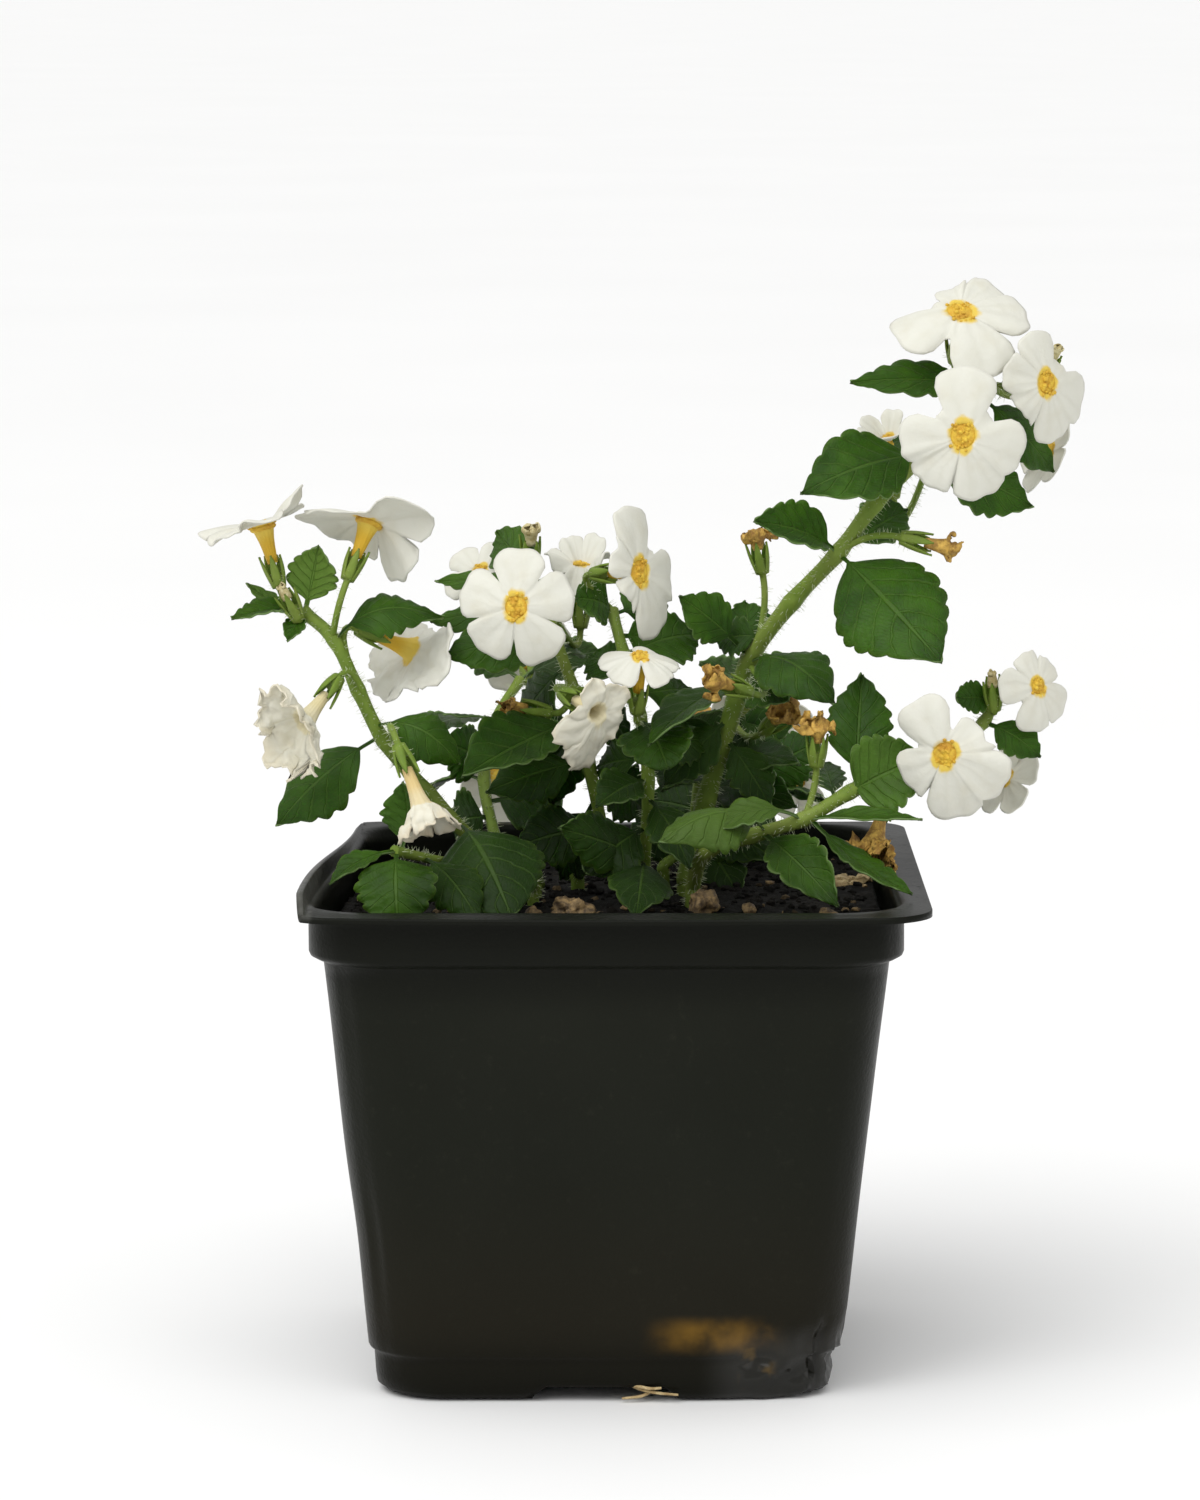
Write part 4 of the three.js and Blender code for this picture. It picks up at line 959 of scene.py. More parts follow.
leftShoot = {
    "node": "shoot_left",
    "root": (-13, 2),
    "thick": (3.1, 2.3),
    "route": [
        (484, 850, -8),
        (428, 793, -14),
        (384, 741, -16),
        (358, 690, -16),
        (334, 640, -14),
        (303, 611, -12),
    ],
    "leaves": [
        leaf(2.1, (277, 825, -18), 14, (-20, 35), 2.5, -10, tone=0.4),
        leaf(2.3, (460, 764, -20), 13, (-14, 42), 6.5, -22, tone=0.5),
        leaf(4.95, (318, 547, -15), 9.5, (-5, 5), -1, 14, tone=0.95),
        leaf(5, (232, 618, -17), 7, (-10, 68), 1, 16, tone=0.6),
        leaf(4.95, (247, 583, -3), 4, (0, 50), -1.5, 10, tone=0.8),
        leaf(4.9, (287, 641, -16), 4, (-20, 20), 1, 5, tone=0.5),
        leaf(4, (443, 618, -15), 11, (-4, 50), 5.6, -12, tone=0.5),
        leaf(0.5, (511, 915, -35), 23, (2, 40), 5, -12, 0.26, 0.3),
    ],
    "flowers": [
        bloom(
            "bloom_left_top", 5, (262, 524, -13), (-106, 74), 21.5,
            (0, 70, 128, 182, 280), (1.02, 0.95, 0.95, 1.12, 1), (42, 15, 5, 18, 15),
        ),
        bloom(
            "bloom_left_second", 4.05, (370, 520, -13), (134, 62), 23,
            (20, 75, 128, 200, 276), (1, 1.2, 0.75, 1.08, 1.22), (-10, -4, -25, -36, 24),
        ),
        wilted(
            "wilted_left_hanging", 2.8, (412, 650, -6), (118, -22), 22,
            (0, 92, 150, 205, 268), (0.6, 1.12, 0.95, 1, 1.3), (55, 0, -8, -8, 8),
            crumple=0.12, skin=petalWhite, valley=0.86, cup=0.4, curl=0,
        ),
        wilted(
            "wilted_left_low", 2.3, (304, 722, -28), (-38, -36), 20,
            (0, 60, 144, 216, 288), (1.05, 0.8, 1.1, 1.1, 0.95), (14, 44, 46, 42, 52),
            crumple=0.24, valley=0.8, curl=0.2, skin=petalCream,
        ),
        wilted(
            "wilted_front", 1.6, (421, 806, -37), (44, -60), 17.5,
            (20, 92, 164, 236, 308), (1, 1.1, 1, 1.05, 1), (62, 50, 50, 58, 66),
            crumple=0.2, valley=0.6, curl=0,
        ),
    ],
    "heads": [dried("dried_left_top", 5, (282, 588, -16), (-60, 60), (2.6, 3.6), True)],
}
growShoot("leftShoot", leftShoot)

frontShoot = {
    "node": "shoot_front_left",
    "root": (-13, -8),
    "thick": (2.2, 1.8),
    "route": [(524, 878, -14), (454, 864, -19), (394, 851, -31)],
    "leaves": [
        leaf(2, (329, 884, -37), 5, (0, 66), 1.6, 22, tone=0.45),
        leaf(1.95, (398, 930, -41), 14.5, (-4, 24), 3.6, -8, tone=0.4),
        leaf(1.5, (480, 922, -38), 11, (14, 26), 3, -8, tone=0.35),
        leaf(1.9, (402, 783, -28), 9.5, (-42, 8), -1.5, 26, tone=0.5),
    ],
    "flowers": [],
    "heads": [],
}
growShoot("frontShoot", frontShoot)

centreLeftShoot = {
    "node": "shoot_centre_left",
    "root": (-5, 11),
    "thick": (2.6, 2),
    "route": [(603, 850, 6), (588, 760, 2), (574, 692, -3), (556, 640, -5), (540, 584, -3)],
    "leaves": [
        leaf(3, (446, 656, -14), 13, (-4, 40), 2, -8, tone=0.4),
        leaf(1.6, (462, 776, -20), 14.5, (-16, 38), 1, 18, tone=0.4),
        leaf(1, (486, 792, -4), 11, (-10, 22), 2, -6, tone=0.3),
        leaf(0.3, (516, 846, 2), 12, (-8, 24), 2, -6, tone=0.3),
        leaf(1.9, (552, 806, 12), 10, (-6, 20), 1.5, -6, tone=0.2),
        leaf(2.2, (630, 742, 10), 10, (10, 24), 1.5, -6, tone=0.2),
        leaf(1.4, (522, 796, 14), 9, (-20, 24), 1.6, 6, tone=0.25),
        leaf(2.5, (520, 726, 8), 10, (-10, 28), 1.4, -6, tone=0.25),
        leaf(0.9, (646, 812, 14), 11, (6, 22), 1.6, -6, tone=0.2),
        leaf(0.6, (560, 880, 14), 12, (-6, 26), 2, -6, tone=0.15),
        leaf(4, (497, 532, 16), 10, (-24, 24), 1, 10, tone=0.6),
        leaf(3.9, (436, 581, 7), 6, (0, 52), 1, 8, tone=0.6),
        leaf(3.5, (430, 621, 2), 9, (-8, 46), 1.2, -6, tone=0.5),
        leaf(2.6, (540, 640, 26), 12, (170, 30), 2, 6, tone=0.35),
    ],
    "flowers": [
        bloom(
            "bloom_centre_front", 3, (516, 607, -25), (-5, 7), 21,
            (3, 75, 147, 221, 287), (1.02, 1, 1.06, 0.98, 1), (-4, -6, -8, -6, -2),
        ),
        bloom(
            "bloom_centre_back", 4, (479, 572, 12), (-22, 40), 14.5,
            (20, 92, 164, 236, 308), (1, 1, 1, 1, 1), (6, 0, -6, 0, 4),
        ),
        bloom(
            "bloom_crown", 4, (582, 564, 12), (160, 86), 18,
            (335, 30, 100, 190, 262), (0.95, 1, 0.7, 0.85, 0.85), (62, 62, 40, -60, 30),
        ),
    ],
    "heads": [
        dried("dried_crown", 4, (531, 532, 1), (0, 70), (5.6, 4), True),
        dried("dried_centre_left", 2, (506, 706, -4), (-80, 10), (4.4, 6.4)),
    ],
}
growShoot("centreLeftShoot", centreLeftShoot)

centreShoot = {
    "node": "shoot_centre",
    "root": (5, 3),
    "thick": (2.4, 2),
    "route": [(643, 868, -1), (648, 780, -5), (640, 715, -8), (624, 655, -5), (612, 610, 1)],
    "leaves": [
        leaf(3, (700, 634, 4), 12, (6, 36), 2, -8, tone=0.35),
        leaf(4, (576, 598, -4), 10.5, (-8, 34), 1.4, 6, tone=0.45),
        leaf(3.9, (668, 606, 12), 11, (10, 40), 1.4, -4, tone=0.35),
        leaf(1.9, (668, 768, -22), 13.5, (6, 34), 2.4, -12, tone=0.4),
        leaf(0.15, (560, 828, -17), 11.5, (0, 26), 1.2, -6, tone=0.5),
        leaf(1, (596, 806, -14), 9, (-20, 30), 1.5, 8, tone=0.4),
        leaf(0.8, (690, 868, -18), 9, (10, 40), 2, -6, tone=0.3),
        leaf(0.1, (636, 916, -34), 12, (4, 36), 2.5, -8, tone=0.2),
        leaf(0.5, (586, 872, -10), 12, (-4, 30), 2, -8, tone=0.3),
        leaf(1.3, (596, 768, 4), 9, (-12, 26), 1.4, 6, tone=0.3),
        leaf(1.6, (706, 742, 6), 10, (8, 26), 1.4, -6, tone=0.25),
        leaf(2.3, (690, 690, 4), 9, (8, 26), 1.4, -6, tone=0.3),
        leaf(2.6, (590, 656, 6), 9, (-8, 26), 1.4, -6, tone=0.3),
        leaf(3.4, (662, 642, 0), 8, (8, 30), 1.2, 6, tone=0.3),
    ],
    "flowers": [
        bloom(
            "bloom_centre_tall", 4, (640, 572, -14), (46, 6), 23,
            (357, 98, 152, 222, 296), (1.05, 0.92, 1.15, 0.5, 0.62), (0, -4, -4, 10, 6),
        ),
        bloom(
            "bloom_centre_small", 2.1, (640, 656, -21), (6, 66), 15,
            (20, 92, 135, 224, 278), (0.72, 1, 0.95, 0.95, 1), (-10, -12, -20, -20, -8),
            valley=0.35,
        ),
        wilted(
            "wilted_centre", 2.2, (598, 713, -28), (34, -12), 18,
            (340, 50, 140, 178, 216), (0.75, 0.78, 0.9, 1.5, 1), (20, 10, -12, -14, -12),
            crumple=0.16, valley=0.65, cup=0.6, curl=-0.1, skin=petalCream,
        ),
    ],
    "heads": [],
}
growShoot("centreShoot", centreShoot)

tallShoot = {
    "node": "shoot_right_tall",
    "root": (15, 9),
    "thick": (3.6, 2.4),
    "route": [
        (706, 800, 9),
        (736, 700, 6),
        (750, 658, 4),
        (792, 602, -2),
        (838, 553, -8),
        (874, 505, -10),
        (922, 455, -7),
        (962, 412, -6),
        (988, 384, -6),
    ],
    "leaves": [
        leaf(2, (680, 596, -2), 10, (-26, 40), 1.6, -4, 0.36, 0.35),
        leaf(2, (746, 602, 14), 9, (0, 26), 1, 6, tone=0.35),
        leaf(1.9, (836, 704, -14), 15, (8, 50), 5, -16, tone=0.2),
        leaf(1.45, (648, 744, -25), 9.5, (-30, 50), 1.6, 12, tone=0.45),
        leaf(0.6, (770, 806, 2), 9, (8, 28), 1.4, -6, tone=0.25),
        leaf(0.8, (664, 786, 2), 9, (-8, 28), 1.4, -6, tone=0.25),
        leaf(1.2, (788, 700, -2), 9, (8, 30), 1.4, 8, tone=0.2),
        leaf(2.4, (716, 640, 6), 8, (-8, 30), 1.2, 6, tone=0.25),
        leaf(4, (941, 662, -30), 21, (6, 16), 2, -6, 0.12, 0.35),
        leaf(4, (755, 521, -18), 11.5, (-8, 40), 2, 16, tone=0.4),
        leaf(4.1, (908, 509, 6), 10, (24, 34), 1.2, 8, tone=0.35),
        leaf(6, (801, 493, -22), 15, (-8, 30), 3, -10, 0.14, 0.35),
        leaf(6, (1032, 506, -1), 13, (16, 22), 1.6, -6, tone=0.4),
        leaf(6.2, (893, 441, 2), 5, (-20, 30), 0.8, 6, tone=0.4),
        leaf(7.9, (851, 382, -16), 8.6, (-8, 40), 1.6, 10, tone=0.3),
        leaf(7.6, (1054, 472, 4), 10, (20, 24), 1.4, -6, tone=0.3),
    ],
    "flowers": [
        bloom(
            "bloom_top", 8, (960, 311, -10), (4, 54), 24,
            (357, 30, 82, 159, 250), (0.66, 1, 1.08, 1.17, 1.07), (4, 0, -4, -12, -8),
        ),
        bloom(
            "bloom_top_front", 7, (963, 436, -28), (2, 2), 23.5,
            (4, 106, 160, 222, 262), (1.05, 1, 1.02, 0.93, 0.96), (0, -8, -8, -6, 4),
        ),
        bloom(
            "bloom_top_right", 8, (1047, 383, -14), (34, 6), 21,
            (348, 112, 165, 228, 285), (0.92, 1.1, 1.06, 0.7, 0.85), (2, -10, -8, -2, 0),
        ),
        bloom(
            "bloom_top_behind", 7.3, (1050, 452, 13), (112, -22), 17,
            (30, 102, 174, 246, 318), (1, 1, 1, 1, 1), (0, 0, 0, 0, 0),
        ),
        bloom(
            "bloom_top_left_behind", 6.3, (888, 438, 12), (-20, 72), 14,
            (0, 72, 144, 216, 288), (1, 1, 1, 1, 1), (58, 50, 40, 40, 50),
        ),
    ],
    "heads": [
        dried("dried_tall_left", 2.1, (756, 537, 6), (-60, 78), (5.6, 3.8)),
        dried("dried_tall_right", 4, (950, 548, -13), (88, -12), (5, 7.6)),
        dried("dried_tall_low", 1.9, (716, 680, -15), (-52, 20), (5.4, 6.4)),
        dried("bud_top", 8, (1058, 349, 4), (48, 52), (2.8, 4), True),
    ],
}
growShoot("tallShoot", tallShoot)

lowShoot = {
    "node": "shoot_right_low",
    "root": (16, -4),
    "thick": (3, 2),
    "route": [
        (706, 852, -13),
        (752, 836, -18),
        (804, 819, -23),
        (850, 792, -22),
        (905, 764, -17),
        (955, 742, -12),
        (984, 722, -11),
        (992, 700, -11),
    ],
    "leaves": [
        leaf(2, (706, 832, -29), 7.5, (-6, 60), 3.6, -10, 0.28, 0.7),
        leaf(1.3, (660, 842, -32), 16, (-16, 56), 5.5, -24, tone=0.72),
        leaf(2, (922, 819, -33), 4.4, (0, 66), 0.8, 8, tone=0.6),
        leaf(3, (918, 760, -24), 15, (-6, 20), 1.5, 6, 0.1, 0.66),
        leaf(3.1, (862, 675, -12), 12, (-4, 12), 1.5, 8, tone=0.35),
        leaf(2.7, (822, 762, -2), 6.4, (0, 36), 1, 0, tone=0.3),
        leaf(1.2, (838, 906, -38), 10.5, (-10, 34), 2.6, 14, tone=0.5),
        leaf(2.1, (912, 893, -39), 6.4, (30, 50), -1.5, 20, tone=0.5),
        leaf(7, (957, 698, -14), 6.4, (-12, 26), 0.8, 8, tone=0.5),
        leaf(6, (1041, 757, -14), 8, (4, 34), 1.8, -8, tone=0.45),
    ],
    "flowers": [
        bloom(
            "bloom_right_front", 4.6, (945, 754, -33), (-10, -2), 22,
            (57, 115, 171, 238, 330), (0.7, 1.12, 1.14, 0.85, 1), (-12, -8, -8, -6, 4),
        ),
        bloom(
            "bloom_right_end", 7, (1038, 686, -15), (30, 6), 15.4,
            (342, 42, 125, 182, 275), (0.85, 0.75, 1.12, 1.1, 1), (0, -8, -10, -6, -2),
        ),
        bloom(
            "bloom_right_behind", 6, (1006, 778, 2), (128, -26), 15,
            (10, 82, 154, 226, 298), (1, 1, 1, 1, 1), (16, 10, 12, 16, 20),
        ),
    ],
    "heads": [
        dried("dried_right_node", 2, (818, 727, -22), (16, 84), (6, 4.6)),
        dried("dried_rim", 3.5, (872, 852, -25), (-30, -60), (8, 12.5)),
        dried("bud_right", 7, (992, 675, -14), (-20, 76), (2.6, 3.6), True),
    ],
}
growShoot("lowShoot", lowShoot)

midShoot = {
    "node": "shoot_mid_right",
    "root": (11, 20),
    "thick": (2.2, 1.8),
    "route": [(690, 840, 24), (700, 780, 26), (722, 735, 24), (752, 700, 20)],
    "leaves": [
        leaf(2, (690, 716, 0), 9.5, (-20, 30), 1.2, 14, tone=0.3),
        leaf(1.4, (800, 764, 0), 10, (14, 36), 2, -8, tone=0.4),
        leaf(0.9, (796, 806, 8), 11, (20, 26), 2, -6, tone=0.35),
        leaf(1, (662, 790, 10), 10, (-20, 30), 1.6, 6, tone=0.3),
        leaf(0.4, (776, 860, 14), 12, (14, 30), 2, -6, tone=0.25),
        leaf(1.4, (650, 728, 20), 11, (-6, 26), 1.6, -6, tone=0.15),
        leaf(2.6, (766, 776, 16), 10, (6, 26), 1.4, -6, tone=0.2),
        leaf(0.5, (630, 852, 22), 12, (-6, 26), 1.6, -6, tone=0.15),
        leaf(1.9, (792, 724, 22), 10, (10, 26), 1.4, -6, tone=0.2),
        leaf(0.2, (740, 896, 10), 11, (6, 30), 1.6, -6, tone=0.2),
        leaf(3, (800, 660, 24), 10, (160, 30), 1, 8, tone=0.3),
    ],
    "flowers": [],
    "heads": [dried("dried_mid_right", 2.4, (784, 713, 2), (30, 30), (5.6, 6))],
}
growShoot("midShoot", midShoot)

backLeftShoot = {
    "node": "shoot_back_left",
    "root": (-16, 17),
    "thick": (2.6, 1.9),
    "route": [(500, 850, 28), (484, 780, 38), (496, 720, 50), (520, 680, 60)],
    "leaves": [
        leaf(3, (600, 650, 66), 11, (170, 40), 2, -6, tone=0.5),
        leaf(3, (466, 650, 58), 9, (-150, 40), 1.6, 6, tone=0.6),
        leaf(2, (420, 730, 62), 12, (-140, 36), 2, -6, tone=0.4),
        leaf(2, (576, 740, 58), 11, (170, 30), 2, -6, tone=0.4),
        leaf(1, (420, 800, 52), 13, (-130, 40), 3, -10, tone=0.35),
        leaf(1.5, (566, 742, 40), 14, (0, 30), 2, -8, tone=0.15),
        leaf(1.2, (446, 742, 34), 12, (-10, 30), 2, -8, tone=0.15),
        leaf(0.7, (560, 800, 36), 14, (0, 30), 2, -8, tone=0.12),
        leaf(0.5, (450, 826, 32), 12, (-8, 30), 2, -8, tone=0.15),
    ],
    "flowers": [
        bloom(
            "bloom_back_left", 3, (522, 646, 72), (-168, 30), 19.4,
            (12, 84, 156, 228, 300), (1, 1, 1, 1, 1), (-4, -6, -8, -4, 0),
        ),
        bloom(
            "bloom_back_left_low", 2, (496, 776, 74), (-150, 10), 19,
            (40, 112, 184, 256, 328), (1, 0.95, 1.05, 1, 1), (0, -6, -8, -4, 2),
        ),
    ],
    "heads": [],
}
growShoot("backLeftShoot", backLeftShoot)

backRightShoot = {
    "node": "shoot_back_right",
    "root": (17, 20),
    "thick": (2.6, 1.9),
    "route": [(700, 850, 30), (740, 800, 42), (764, 752, 54), (770, 705, 62)],
    "leaves": [
        leaf(3, (700, 664, 68), 11, (-170, 40), 2, -6, tone=0.5),
        leaf(3, (816, 660, 58), 9, (150, 40), 1.6, 6, tone=0.6),
        leaf(2, (820, 780, 66), 12, (140, 36), 2, -6, tone=0.4),
        leaf(2, (680, 740, 62), 12, (-170, 30), 2, -6, tone=0.4),
        leaf(1, (826, 800, 52), 13, (130, 44), 3, -10, tone=0.35),
        leaf(0.9, (668, 812, 50), 13, (-172, 40), 3, -8, tone=0.35),
        leaf(1.2, (690, 742, 42), 14, (0, 30), 2, -8, tone=0.15),
        leaf(1.4, (820, 742, 46), 12, (6, 30), 2, -8, tone=0.15),
        leaf(0.6, (652, 800, 40), 14, (0, 30), 2, -8, tone=0.12),
        leaf(0.5, (780, 836, 36), 13, (6, 30), 2, -8, tone=0.15),
    ],
    "flowers": [
        bloom(
            "bloom_back_right", 3, (762, 704, 76), (172, 24), 19.7,
            (30, 102, 174, 246, 318), (1, 1, 1, 1.05, 1), (-2, -6, -8, -4, 0),
        ),
        bloom(
            "bloom_back_right_low", 2, (798, 774, 72), (138, 12), 19,
            (0, 72, 144, 216, 288), (1, 1, 1, 1, 0.95), (0, -4, -8, -6, 2),
        ),
    ],
    "heads": [dried("dried_back", 1.6, (700, 716, 77.1), (-160, 40), (5, 6))],
}
growShoot("backRightShoot", backRightShoot)


# The pot is one circle pushed up ring by ring, each ring drawn out to a rounded square.
potRings = {"around": 192, "cornerShare": 0.42, "floor": 26, "wall": 30}


def squareSpot(turn, width, corner):
    half = width / 2
    inner = half - corner
    quarter = (turn % 1) * 4
    side = math.floor(quarter)
    t = quarter - side - 0.5
    share = potRings["cornerShare"] / 2
    if abs(t) > 0.5 - share:  # on a corner's arc
        angle = (abs(t) - 0.5 + share) / share * math.pi / 4
        x = inner + corner * math.cos(angle)
        y = math.copysign(inner + corner * math.sin(angle), t)
    else:
        x, y = half, inner * t / (0.5 - share)
    for _ in range(side):
        x, y = -y, x
    return x, y


def leanIn(point):
    wide, high = potSize["rimWidth"], potSize["height"]
    left = smoothStep(0.2 * wide, 0.45 * wide, -point.x)
    back = smoothStep(-0.45 * wide, 0.5 * wide, point.y)
    point.x += left * back * smoothStep(0.4 * high, high, point.z) * potSize["sideDent"]
    return point


def curlUp(point):
    standing = -potSize["bandWidth"] / 2 - 0.5
    over = max(0, standing - point.x)
    wide = potSize["rimWidth"]
    share = smoothStep(-0.5 * wide, -0.44 * wide, point.y)
    sag = blend(1, 0.2, smoothStep(-0.3 * wide, 0.5 * wide, point.y))
    angle = math.radians(potSize["curlAngle"])
    point.x += over * (1 - math.cos(angle))
    point.z += over * share * sag * math.sin(angle)
    return leanIn(point)


# Soft dents in the thin walls, and the creases at the crushed front right corner of the foot.
dents = {
    "ripple": {"back": (0.35, 0.03), "front": (0.3, 0.035)},  # depth and scale
    "soft": [(0, 40, 26, 0.5), (-38, 30, 12, 0.5)],
    "folds": [
        ((-37, 69), (-22, 50), 4, 0.9),
        ((36, 69), (22, 61), 4, 0.8),
        ((24, 17), (37, 8), 2.5, 0.9),
    ],
    "crush": {"at": (33, 6), "reach": 18, "deep": 2.8},
    "beside": 0.15,  # how far a dent also moves a wall along itself
}


def awayFrom(point, start, end):
    along = Vector(end) - Vector(start)
    spot = Vector((point.x, point.z)) - Vector(start)
    share = max(0, min(1, spot.dot(along) / along.length_squared))
    return (spot - along * share).length


def dentWall(point):
    deep, scale = dents["ripple"]["back" if point.y > 0 else "front"]
    push = deep * noise.noise(point * scale)
    if point.y <= 0:
        for x, z, size, deep in dents["soft"]:
            away = ((point.x - x) / size) ** 2 + ((point.z - z) / size) ** 2
            push += deep * math.exp(-away)
        for start, end, size, deep in dents["folds"]:
            push += deep * math.exp(-((awayFrom(point, start, end) / size) ** 2))
        crush = dents["crush"]
        away = math.hypot(point.x - crush["at"][0], (point.z - crush["at"][1]) * 1.5)
        near = 1 - smoothStep(0.3 * crush["reach"], crush["reach"], away)
        crease = abs(noise.noise(point * 0.16)) * 2.2 + abs(noise.noise(point * 0.4)) * 0.7
        push += near * crush["deep"] * crease * 0.6
    across, depth = abs(point.x), abs(point.y)
    big = max(across, depth, 1)
    onSide, onFront = across > depth * 0.96, depth > across * 0.96
    point.x -= push * point.x / big * (1 if onSide else dents["beside"])
    point.y -= push * point.y / big * (1 if onFront else dents["beside"])
    return point


def potProfile():
    # width, corner, height and bend of each ring, from the middle of the floor to the rim
    size = potSize
    foot, footCorner, footRound = size["footWidth"], size["footCorner"], size["footRound"]
    body, bodyCorner, band = size["bodyFoot"], size["bodyCorner"], size["bandWidth"]
    step = size["footHeight"] - size["footStep"]
    low = size["height"] - size["bandDepth"]
    under = size["height"] - size["flangeThick"]
    rim = size["rimWidth"] - 0.02  # just inside the solid's rim
    shares = [k / potRings["floor"] for k in range(3, potRings["floor"] - 2)]
    rings = [(share * foot, share * footCorner, 0, None) for share in shares]
    for inset, height in ((2, 0), (0.8, 0.5), (0.15, 1.6), (0, footRound)):
        rings.append((foot - inset * footRound, footCorner, height, None))
    for k in range(1, 5):
        rings.append((foot + 0.6 * k / 4, footCorner, blend(footRound, step, k / 4), None))
    rings.append((body - 0.5, footCorner, size["footHeight"] - 0.3, None))
    rings.append((body, footCorner, size["footHeight"] + 0.2, None))
    for k in range(1, potRings["wall"] + 1):
        share = k / potRings["wall"]
        width = blend(body, size["bodyTop"], share)
        height = blend(size["footHeight"] + 0.2, low - size["bandStep"], share)
        rings.append((width, blend(footCorner, bodyCorner, share), height, leanIn))
    ups = (low - 0.9, low - 0.2, low + 0.5, low + 3, size["height"] - 3, under - 0.3)
    for inset, height in zip((2.4, 0.5, 0, 0, 0, 0), ups):
        rings.append((band - inset, bodyCorner, height, leanIn))
    for share in (0.08, 0.3, 0.55, 0.8, 0.94, 1):
        corner = blend(bodyCorner, size["rimCorner"], share)
        rings.append((blend(band, rim, share), corner, under, curlUp))
    return rings


def floorRise(x, y):
    # two raised channels cross under the floor, except at the pad in its middle
    rise = 0
    for off in (x, y):
        half = potSize["channelWide"] / 2
        rise = max(rise, 1 - smoothStep(half - 0.4, half + 0.4, abs(off)))
    pad = smoothStep(potSize["padRadius"] - 0.4, potSize["padRadius"] + 0.4, math.hypot(x, y))
    return rise * pad * potSize["channelHigh"]


def drillDrains(bm):
    # the faces inside each hole go, and the points round it are drawn on to its circle
    radius = potSize["drainRadius"]
    out = potSize["footWidth"] / 2 - radius - 3
    for x, y in ((out, 0), (-out, 0), (0, out), (0, -out)):
        middle = Vector((x, y))
        low = [face for face in bm.faces if face.calc_center_median().z < 4]
        cut = [f for f in low if (f.calc_center_median().xy - middle).length < radius]
        rim = {vert for face in cut for vert in face.verts}
        bmesh.ops.delete(bm, geom=cut, context="FACES")
        for vert in rim:
            if vert.is_valid:
                off = vert.co.xy - middle
                vert.co.xy = middle + off * (radius / off.length)


sagForm = {"front": 0.5, "back": 0.2, "edge": (52, 57)}


def rimSag(x, y):
    # the rim hangs a little in the middle of its front and back
    deep = sagForm["front" if y < 0 else "back"]
    middle = 1 - (x / sagForm["edge"][1]) ** 2
    return deep * middle * smoothStep(*sagForm["edge"], abs(y))


def makePot():
    bm, _ = startMesh()
    profile = potProfile()
    rings = growRings(bm, potRings["around"], len(profile))
    under = potSize["height"] - potSize["flangeThick"]
    for (width, corner, height, bend), verts in zip(profile, rings):
        for vert in verts:
            turn = math.atan2(vert.co.y, vert.co.x) / (2 * math.pi) + 0.125
            x, y = squareSpot(turn, width, corner)
            rise = max(height, floorRise(x, y)) if height < potSize["channelHigh"] else height
            point = Vector((x, y, rise))
            if bend:
                point = bend(point)
            if 0 < height < under - 0.5:
                point = dentWall(point)
            if bend == curlUp:
                point.z -= rimSag(x, y)
            vert.co = point
    drillDrains(bm)
    bmesh.ops.recalc_face_normals(bm, faces=bm.faces[:])
    bm.normal_update()
    bmesh.ops.solidify(bm, geom=bm.faces[:], thickness=potSize["wall"])
    makePiece(bm, "potShell", [potBlack], ["pot"])


makePot()
print("pot made")

soilForm = {"cells": 150, "rough": 1.1, "wallGap": 1.6, "skirt": ((6, 0.97), (70, 0.82))}


def soilHeight(x, y):
    point = Vector((x, y, 3))
    rough = noise.noise(point * 0.09) * 0.9 + noise.noise(point * 0.3) * 0.55
    return soilTop - 0.3 + soilForm["rough"] * (rough + noise.noise(point * 0.9) * 0.3)


def makeSoil():
    bm, _ = startMesh()
    cells = soilForm["cells"]
    made = bmesh.ops.create_grid(bm, x_segments=cells, y_segments=cells, size=1)
    half = potSize["bandWidth"] / 2 - potSize["wall"] - soilForm["wallGap"]
    corner = potSize["bodyCorner"] - 2
    for vert in made["verts"]:
        x, y = vert.co.x * half, vert.co.y * half
        over = Vector((max(0, abs(x) - half + corner), max(0, abs(y) - half + corner)))
        if over.length > corner:  # the corners are drawn in to their arc
            pulled = over * (corner / over.length)
            x = math.copysign(half - corner + pulled.x, x)
            y = math.copysign(half - corner + pulled.y, y)
        point = leanIn(Vector((x, y, soilTop)))
        point.z = soilHeight(point.x, point.y)
        vert.co = point
    rim = [edge for edge in bm.edges if edge.is_boundary]
    for drop, width in soilForm["skirt"]:
        verts, rim = pushEdges(bm, rim)
        for vert in verts:
            vert.co.z = soilTop - drop
            vert.co.x *= width
            vert.co.y *= width
    bmesh.ops.edgeloop_fill(bm, edges=rim)
    bmesh.ops.remove_doubles(bm, verts=bm.verts[:], dist=0.0001)
    bmesh.ops.recalc_face_normals(bm, faces=bm.faces[:])
    makePiece(bm, "soilBed", [soilDark], ["soil"])


makeSoil()

crumbBatch = 50  # crumbs are made in batches, which is faster


